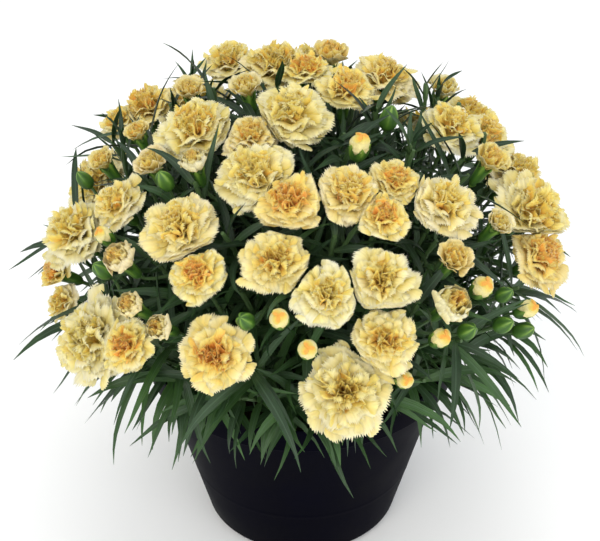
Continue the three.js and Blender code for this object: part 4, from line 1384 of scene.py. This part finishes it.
def stem_rails(plant):
    rails = Rails()
    for stem in stems_of(plant):
        knots = list(stem["shares"]) + [share for share, _ in MORE_PAIRS[stem["kind"]]]
        count = max(8, int(stem["curve"].length() / 9))
        shares = np.unique(np.concatenate([np.linspace(0, 1, count), knots]))
        slim = 0.85 if stem["kind"] == "side" else 1.0
        thick = [
            STEM * slim * ((1.12 - 0.24 * share) + (KNOT if share in knots else 0.0))
            for share in shares
        ]
        up = stem["frames"][0][2]
        ups = []
        for share in shares:
            axis = stem["curve"].tangent(share)
            up = unit(up - axis * (up @ axis))
            ups.append(up)
        rails.chain(stem["curve"].at(shares), thick, ups, shares * 0.5, 0.0)
    count = len(CROWN_RADII)
    places = [plant_foot(plant) + Z * z for z in np.linspace(-CROWN["depth"], CROWN["rise"], count)]
    rails.chain(places, CROWN_RADII, [X] * count, np.zeros(count), 0.0)
    return rails.mesh("stem_rails")


def copies_mesh(name, group):
    """Points for the copies tree, from the place, axis, size and spin of each copy."""
    places, axes, sizes, spins = zip(*group)
    turned = [between(*sides(axis), spin) for axis, spin in zip(axes, spins)]
    return mesh_of(name, places, axis=axes, side=turned, size=sizes)


def dress(piece, node):
    """Hangs a piece on the root body and hides the solid that it stands for."""
    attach(piece, "root")
    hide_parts(node)
    return piece


def join(name, pieces):
    """Joins pieces into one mesh object."""
    joined = bmesh.new()
    for piece in pieces:
        joined.from_mesh(piece.data)
    mesh = bpy.data.meshes.new(name)
    joined.to_mesh(mesh)
    joined.free()
    mesh.materials.append(pieces[0].data.materials[0])
    for piece in pieces:
        bpy.data.objects.remove(piece)
    return linked(name, mesh)


# How the petals of a flower stand, from the outermost to the heart, in shares of its radius. Of
# two values the second is the heart's, or a full bloom's for `reach_fall` and `upright`. A bloom
# is the fuller the less golden it is.
# - rings: turns of petals; reach and rise: where the tips are; reach_fall: how late reach shrinks
# - full: how much higher the heart of a full bloom is; bow: how far out and up each petal's
#   middle bulges, and how far it arches; upright: the share of the petals after which they stand
# - wide: half width; wave: height of the ruffles; fold: depth of the bowl; twist: in radians
# - warmth: how close the gold keeps to the heart; claw_colour_and_glow: depth of colour at the claw,
#   partly painted glow in the shaded crevices between the rings; uneven: how much the petals differ
OPEN_FORM = {
    "rings": 6, "reach": (0.97, 0.06), "reach_fall": (1.25, 1.1), "rise": (0.2, 0.8),
    "full": 0.12, "bow": (0.42, 0.85, 0.16), "upright": (0.62, 0.85), "wide": (0.86, 0.42),
    "wave": (0.075, 0.13), "fold": (0.0, 0.02), "twist": (0.25, 1.1), "warmth": 1.5,
    "uneven": 1.0, "claw_colour_and_glow": 1.0,
}
# Half-open flowers: some whose petals still wrap into a cup, and some that spray out.
CUP_FORM = {
    "rings": 3, "reach": (0.78, 0.24), "reach_fall": (1.0, 1.0), "rise": (1.25, 1.62),
    "full": 0.0, "bow": (1.45, 0.42, 0.0), "upright": (0.7, 0.7), "wide": (0.8, 0.44),
    "wave": (0.03, 0.1), "fold": (0.42, 0.3), "twist": (0.05, 0.7), "warmth": 1.0,
    "uneven": 0.3, "claw_colour_and_glow": 0.2,
}
SPRAY_FORM = {
    "rings": 3, "reach": (1.05, 0.12), "reach_fall": (1.1, 1.1), "rise": (0.95, 1.25),
    "full": 0.0, "bow": (0.66, 0.62, 0.0), "upright": (0.5, 0.5), "wide": (0.66, 0.42),
    "wave": (0.05, 0.12), "fold": (0.08, 0.1), "twist": (0.2, 1.0), "warmth": 1.1,
    "uneven": 0.8, "claw_colour_and_glow": 0.8,
}
CUPS = (7, 8, 12, 13, 14)  # the half-open flowers, by number, that are cups
OPENING_PETALS = 20
GOLDEN_ANGLE = 2.39996
PETAL_THICK = 0.12
# Height of the frill: of an open bloom as a share of its radius, of a half-open one in millimetres.
BLOOM_FRILL = 0.02
OPENING_FRILL = 0.25


def petal_points(base, axis, radius, form, count, gold, seed):
    """For each petal of a flower, the bow that it follows, how it is ruffled and its colour."""
    draw = drawer(seed)
    u, v = sides(axis)
    spin = draw() * 2 * math.pi
    full = min(1.0, max(0.0, 1.15 - gold))
    uneven = form["uneven"]
    blush = 0.55 * gold * draw()
    deeper = (draw() - 0.4) * 0.22 * min(1, gold * 2)

    def mix(key, t):
        low, high = form[key]
        return low + (high - low) * t

    petals = []
    for i in range(count):
        # the share of the way from the outermost petal to the heart, in rings
        t = i / (count - 1) * form["rings"]
        ring = min(form["rings"] - 1, int(t))
        t = (ring + (t - ring) * 0.5) / (form["rings"] - 0.5)
        stand = min(1.0, max(0.0, (t - mix("upright", full)) * 6))
        angle = spin + i * GOLDEN_ANGLE + (draw() - 0.5) * 0.4
        out = between(u, v, angle)
        reach = mix("reach", t ** mix("reach_fall", full)) * (1 + (draw() - 0.5) * 0.16 * uneven)
        rise = mix("rise", t**1.15) + form["full"] * full * t + (draw() - 0.5) * 0.16 * uneven
        start = out * min(2.6, 0.2 * radius) * (1 - 0.6 * t) - axis * 0.12 * radius
        bow_out, bow_up, arch = form["bow"]
        bow_out += (draw() - 0.5) * 0.24 * uneven
        bow_out += (1.0 - bow_out) * stand
        crest = (rise * bow_up + arch * (1 - 0.5 * t)) * (1 - 0.5 * stand)
        bend = out * reach * bow_out * radius + axis * crest * radius
        tip = out * reach * radius + axis * rise * radius
        twist = (draw() - 0.5) * 2 * mix("twist", t * t)
        across = unit(cross(out, axis))
        across = unit(across * math.cos(twist) + (out + axis * 0.3) * math.sin(twist))
        warm = 0.3 * t**3 + 0.6 * gold * t ** form["warmth"] + 0.04 + deeper
        petals.append({
            "p0": (base + start) * MM, "p1": (base + bend) * MM, "p2": (base + tip) * MM,
            "side": across * mix("wide", t) * (0.85 + 0.3 * draw()) * radius * MM,
            "wave": (mix("wave", t) + 0.12 * draw() ** 2 * uneven) * radius * MM,
            "waves": 3.0 + 2.5 * t + 3.0 * draw(),
            "phase": draw() * TURN,
            "fold": mix("fold", t) * (0.5 + draw()) * radius * MM,
            "warm": warm + (draw() - 0.5) * 0.1,
            "blush": blush * (1 - 0.8 * t),
            # how strongly the colour deepens towards the claw: the petal's own colour there, and
            # painted glow in the shaded crevices
            "claw_colour_and_glow": (0.36 + 0.24 * gold) * form["claw_colour_and_glow"],
        })
    return petals


def grow_petals(name, petals, frill):
    """Grows petals on their points, which may be of several flowers."""
    rows = {key: [petal[key] for petal in petals] for key in petals[0]}
    start = mesh_of("petal_points", np.array(rows["p0"]) / MM, **rows)
    return piece_from(
        PETALS, name, start, Blade=SHAPES["blade"], Material=PETAL,
        Thickness=PETAL_THICK * MM, Frill=frill * MM,
    )


def press(piece, bloom):
    """Draws in what would pass the planes where the neighbouring blooms press."""
    mesh = piece.data
    places = np.empty(len(mesh.vertices) * 3)
    mesh.vertices.foreach_get("co", places)
    places = places.reshape(-1, 3) / MM
    for other in blooms:
        toward = other["middle"] - bloom["middle"]
        apart = length(toward)
        span = bloom["radius"] + other["radius"]
        if other is bloom or apart >= span * 1.25:
            continue
        normal = toward / apart
        limit = apart * bloom["radius"] / span * 1.1
        start = limit * 0.6
        over = (places - bloom["middle"]) @ normal - start
        soft = (limit - start) * (1 - np.exp(-np.maximum(over, 0) / (limit - start)))
        places -= np.where(over > 0, over - soft, 0)[:, None] * normal
    mesh.vertices.foreach_set("co", (places * MM).ravel())
    mesh.update()


def build_bloom(bloom):
    radius = bloom["radius"]
    count = 22 if radius < 13 else 32 if radius < 19 else 40
    axis = turned_forward(bloom["axis"], BLOOMS[bloom["index"]][1])
    petals = petal_points(
        bloom["base"], axis, radius, OPEN_FORM, count, bloom["gold"], 500 + bloom["index"],
    )
    piece = grow_petals(bloom["name"] + "_petals", petals, BLOOM_FRILL * radius)
    press(piece, bloom)
    dress(piece, bloom["name"])


def build_plant(plant):
    name = f"plant_{plant + 1:02d}"
    for part, rails, material, outline in (
        ("_leaves", leaf_rails(plant), LEAVES, "leaf_section"),
        ("_stems", stem_rails(plant), STEMS, "stem_section"),
    ):
        piece = piece_from(
            RAILS, name + part, rails, Material=material, Section=SHAPES[outline],
        )
        dress(piece, name)

    draw = drawer(700 + plant)
    groups = {"calyx": [], "bract": [], "green_bud": [], "open_bud": [], "furled": []}
    petals = []

    def add_calyx(base, axis, wide):
        foot = base - axis * CALYX["length"]
        spin = draw() * TURN
        groups["calyx"].append((foot, axis, (wide, wide, 1.0), spin))
        groups["bract"].append((foot, axis, (0.9, 0.9, 0.9), spin))

    for bloom in blooms:
        if bloom["plant"] == plant:
            add_calyx(bloom["base"], bloom["axis"], 1.0)
    for number, head in enumerate(heads):
        if head["plant"] != plant:
            continue
        base, axis, wide = head["base"], head["axis"], head["width"] / 2
        if head["kind"] == "opening":
            add_calyx(base, axis, 0.93)
            turned = turned_forward(axis, OPENING[number][1])
            form, gold = (CUP_FORM, 0.85) if number in CUPS else (SPRAY_FORM, 0.6)
            petals += petal_points(base, turned, wide, form, OPENING_PETALS, gold, 900 + number)
            continue
        place = (base, axis, (wide, wide, wide), draw() * TURN)
        for label in ("open_bud", "furled") if head["kind"] == "coloured" else ("green_bud",):
            groups[label].append(place)
        groups["bract"].append((base - axis * wide * BUD_FOOT, axis, (0.8, 0.8, 0.8), 0.0))

    def copied(label, material):
        start = copies_mesh(label, groups[label])
        return piece_from(COPIES, label, start, Template=SHAPES[label], Material=material)

    green = ("calyx", "bract", "green_bud", "open_bud")
    calyces = [copied(label, CALYCES) for label in green if groups[label]]
    if calyces:
        dress(join(name + "_calyces", calyces), name)
    tips = [copied("furled", PETAL)] if groups["furled"] else []
    if petals:
        tips.append(grow_petals("cups", petals, OPENING_FRILL))
    if tips:
        dress(join(name + "_opening", tips), name)


# ------------------------------------------------------------------ pot and soil

POT_SIDES = 96
RING = 36  # height of the faint ring round the wall
RING_RELIEF = 0.12
SOIL_SIDES = 48
SOIL_RINGS = 16
SOIL_LUMPS = 1.8


def wall_radius(z):
    return POT["base"] + (POT["neck"] - POT["base"]) * z / POT["band_z"]


def inner_radius(z):
    low_z = POT["wall"] + POT["floor_bevel"]
    high_z = POT["band_z"] + POT["wall"]
    low = wall_radius(low_z) - POT["wall"]
    high = POT["neck"] - POT["wall"]
    return low + (high - low) * (z - low_z) / (high_z - low_z)


def rounded(corners, steps=4):
    """A profile with each corner rounded by its own radius: (radius, height, rounding) each."""
    line = []
    for i, (r, z, turn) in enumerate(corners):
        here = np.array([r, z], float)
        if turn == 0:
            line.append(here)
            continue
        before = np.array(corners[i - 1][:2], float) - here
        after = np.array(corners[i + 1][:2], float) - here
        before, after = before / np.hypot(*before), after / np.hypot(*after)
        start, end = here + before * turn, here + after * turn
        for t in np.linspace(0, 1, steps + 1):
            line.append((1 - t) ** 2 * start + 2 * t * (1 - t) * here + t * t * end)
    return line


def turned_mesh(name, profile, count):
    """A closed body turned about +Z from a profile that starts and ends on the axis."""
    rings = [
        [(r * math.cos(a), r * math.sin(a), z) for a in np.arange(count) * 2 * math.pi / count]
        for r, z in profile[1:-1]
    ]
    points, faces = lathe(rings)
    points[-2:] = [(0, 0, profile[0][1]), (0, 0, profile[-1][1])]
    return mesh_of(name, points, faces)


def plain_piece(name, mesh, material):
    mesh.materials.append(material)
    return linked(name, mesh)


def build_pot():
    base, neck, rim, high, band = [POT[key] for key in ("base", "neck", "rim", "height", "band_z")]
    wall, taper, bevel = POT["wall"], POT["band_taper"], POT["foot_bevel"]
    shelf = band + wall
    corner = wall + POT["floor_bevel"]
    corners = [
        (0, 0, 0), (base - bevel - 3, 0, 0), (base - bevel, 0, 1.5),
        (wall_radius(bevel), bevel, 1.6), (wall_radius(RING - 2), RING - 2, 0.8),
        (wall_radius(RING) + RING_RELIEF, RING, 0.8), (wall_radius(RING + 2), RING + 2, 0.8),
        (neck, band, 1.0), (rim - taper, band, 0.8), (rim, high - 1, 0.6),
        (rim - 0.3, high, 0.25), (rim - wall, high, 0.4), (rim - taper - wall, shelf, 0.6),
        (inner_radius(shelf), shelf, 1.0), (inner_radius(corner), corner, 1.2),
        (POT["floor"], wall, 1.0), (0, wall, 0),
    ]
    pot = plain_piece("pot_shell", turned_mesh("pot", rounded(corners), POT_SIDES), PLASTIC)
    profile = [(0, -2), (DRAINS["radius"], -2), (DRAINS["radius"], 4), (0, 4)]
    for i in range(DRAINS["count"]):
        at = outward(360 * (i + 0.5) / DRAINS["count"]) * DRAINS["ring"] * MM
        mesh = turned_mesh("drill", profile, 32)
        # known fault: these rows are read as columns, so every drill stays at the pot's middle
        mesh.transform([[1, 0, 0, at[0]], [0, 1, 0, at[1]], [0, 0, 1, 0], [0, 0, 0, 1]])
        drill = linked("drill", mesh)
        cut = pot.modifiers.new("drain", "BOOLEAN")
        cut.object = drill
        cut.operation = "DIFFERENCE"
        pot.data = applied(pot)
        pot.modifiers.clear()
        bpy.data.objects.remove(drill)
    pot.data.shade_smooth()
    pot.data.set_sharp_from_angle(angle=math.radians(35))
    dress(pot, "pot")


def crumbs_tree():
    """Scatters lumps on every upward face, sized and turned at random from a fixed seed."""
    tree, given = new_tree(
        "crumbs", Material="Material", Density="Float", Smallest="Float", Largest="Float",
    )
    face = add(tree, "GeometryNodeInputNormal")
    up = add(tree, "ShaderNodeSeparateXYZ", {0: face}).outputs[2]
    level = add(tree, MATH, {0: up, 1: 0.7}, operation="GREATER_THAN")
    spots = add(
        tree, "GeometryNodeDistributePointsOnFaces",
        {"Mesh": given["Geometry"], "Selection": level, "Density": given["Density"], "Seed": 5},
    )
    ball = add(tree, "GeometryNodeMeshIcoSphere", {0: 1.0, 1: 1})
    sizes = {2: given["Smallest"], 3: given["Largest"], 8: 1}
    size = add(tree, RANDOM, sizes, data_type="FLOAT").outputs[1]
    turns = {0: (0, 0, 0), 1: (TURN, TURN, TURN), 8: 2}
    spin = add(tree, RANDOM, turns, data_type="FLOAT_VECTOR").outputs[0]
    where = {0: spots.outputs["Points"], 2: ball.outputs[0], 5: spin, 6: size}
    finish_tree(tree, add(tree, ON_POINTS, where), given["Material"], sharp_from=3.0)
    return tree


def build_soil():
    draw = drawer(8)
    low, edge = POT["wall"] + GAP, SOIL["top"] - SOIL["edge_drop"]
    wide = inner_radius(edge) - GAP
    sides_of_soil = [(SOIL["foot"], low), (inner_radius(low + 4) - GAP, low + 4), (wide, edge)]
    rings = [turned_ring(SOIL_SIDES, lambda a: place) for place in sides_of_soil]
    for k in range(1, SOIL_RINGS):
        share = 1 - k / SOIL_RINGS
        rise = SOIL["top"] - SOIL["edge_drop"] * share**3
        rings.append(turned_ring(
            SOIL_SIDES, lambda a: (wide * share, rise + (draw() - 0.5) * SOIL_LUMPS),
        ))
    points, faces = lathe(rings)
    ground = mesh_of("soil", points, faces)
    top = ground.copy()
    soil = plain_piece("soil_body", ground, PEAT)
    ground.shade_smooth()
    crumbs = piece_from(
        crumbs_tree(), "crumbs", top, Material=PEAT, Density=60000.0,
        Smallest=0.5 * MM, Largest=1.7 * MM,
    )
    dress(join("soil_surface", [soil, crumbs]), "soil")


build_pot()
build_soil()
for plant in range(len(PLANTS)):
    build_plant(plant)
for bloom in blooms:
    build_bloom(bloom)
for shape in SHAPES.values():
    bpy.data.objects.remove(shape)

# ------------------------------------------------------------------ floor, light and camera

FLOOR = 6.0  # metres from the middle to each side
AIM = (0, 0, 0.17)  # what the lamps point at, in metres
# Name, place and size in metres, power in watts, and colour of each lamp.
LAMPS = (
    ("key", (-0.5, -1.6, 1.35), 1.0, 15, "#FFFBF4"),
    ("fill", (1.0, -1.5, 0.9), 1.2, 9, "#F6F8FF"),
    ("top", (0.1, 0.5, 2.0), 1.0, 6, "#FFFFFF"),
)
VIEW_DOWN = 34  # degrees
VIEW_TARGET = (-1.0, 0.0, 156.7)  # millimetres; the camera is a metre away from it
SENSOR = 36
FOCAL = 1862 / 600  # focal length in widths of the picture


def stage_material():
    """Matt white studio floor."""
    made, _, shader = new_material("studio_floor", Roughness=0.9, Specular_IOR_Level=0.1)
    shader["Base Color"].default_value = colour("#FAFAF8")
    return made


def build_stage():
    """A wide floor, an even white sky and three lamps."""
    corners = [(-FLOOR, -FLOOR, 0), (FLOOR, -FLOOR, 0), (FLOOR, FLOOR, 0), (-FLOOR, FLOOR, 0)]
    mesh = bpy.data.meshes.new("floor")
    mesh.from_pydata(corners, [], [(0, 1, 2, 3)])
    floor = plain_piece("floor", mesh, stage_material())

    world = bpy.data.worlds.new("studio")
    world.use_nodes = True
    sky = world.node_tree.nodes["Background"].inputs
    sky["Color"].default_value = colour("#F3F5F8")
    sky["Strength"].default_value = 1.02
    bpy.context.scene.world = world

    for name, place, size, power, tint in LAMPS:
        lamp = bpy.data.lights.new(name, "AREA")
        lamp.size = size
        lamp.energy = power
        lamp.color = colour(tint)[:3]
        holder = linked(name, lamp)
        holder.location = place
        x, y, z = np.array(AIM) - np.array(place)
        holder.rotation_euler = (math.atan2(math.hypot(x, y), -z), 0, math.atan2(y, x) - math.pi / 2)


def build_camera():
    """Looks along +Y and down from a metre away."""
    lens = bpy.data.cameras.new("camera")
    lens.sensor_width = SENSOR
    lens.lens = SENSOR * FOCAL
    down = math.radians(VIEW_DOWN)
    holder = linked("camera", lens)
    away = np.array([0.0, -math.cos(down), math.sin(down)])
    holder.location = np.array(VIEW_TARGET) * MM + away
    holder.rotation_euler = (math.pi / 2 - down, 0, 0)
    bpy.context.scene.camera = holder


build_stage()
build_camera()
bpy.context.scene.view_settings.view_transform = "Standard"
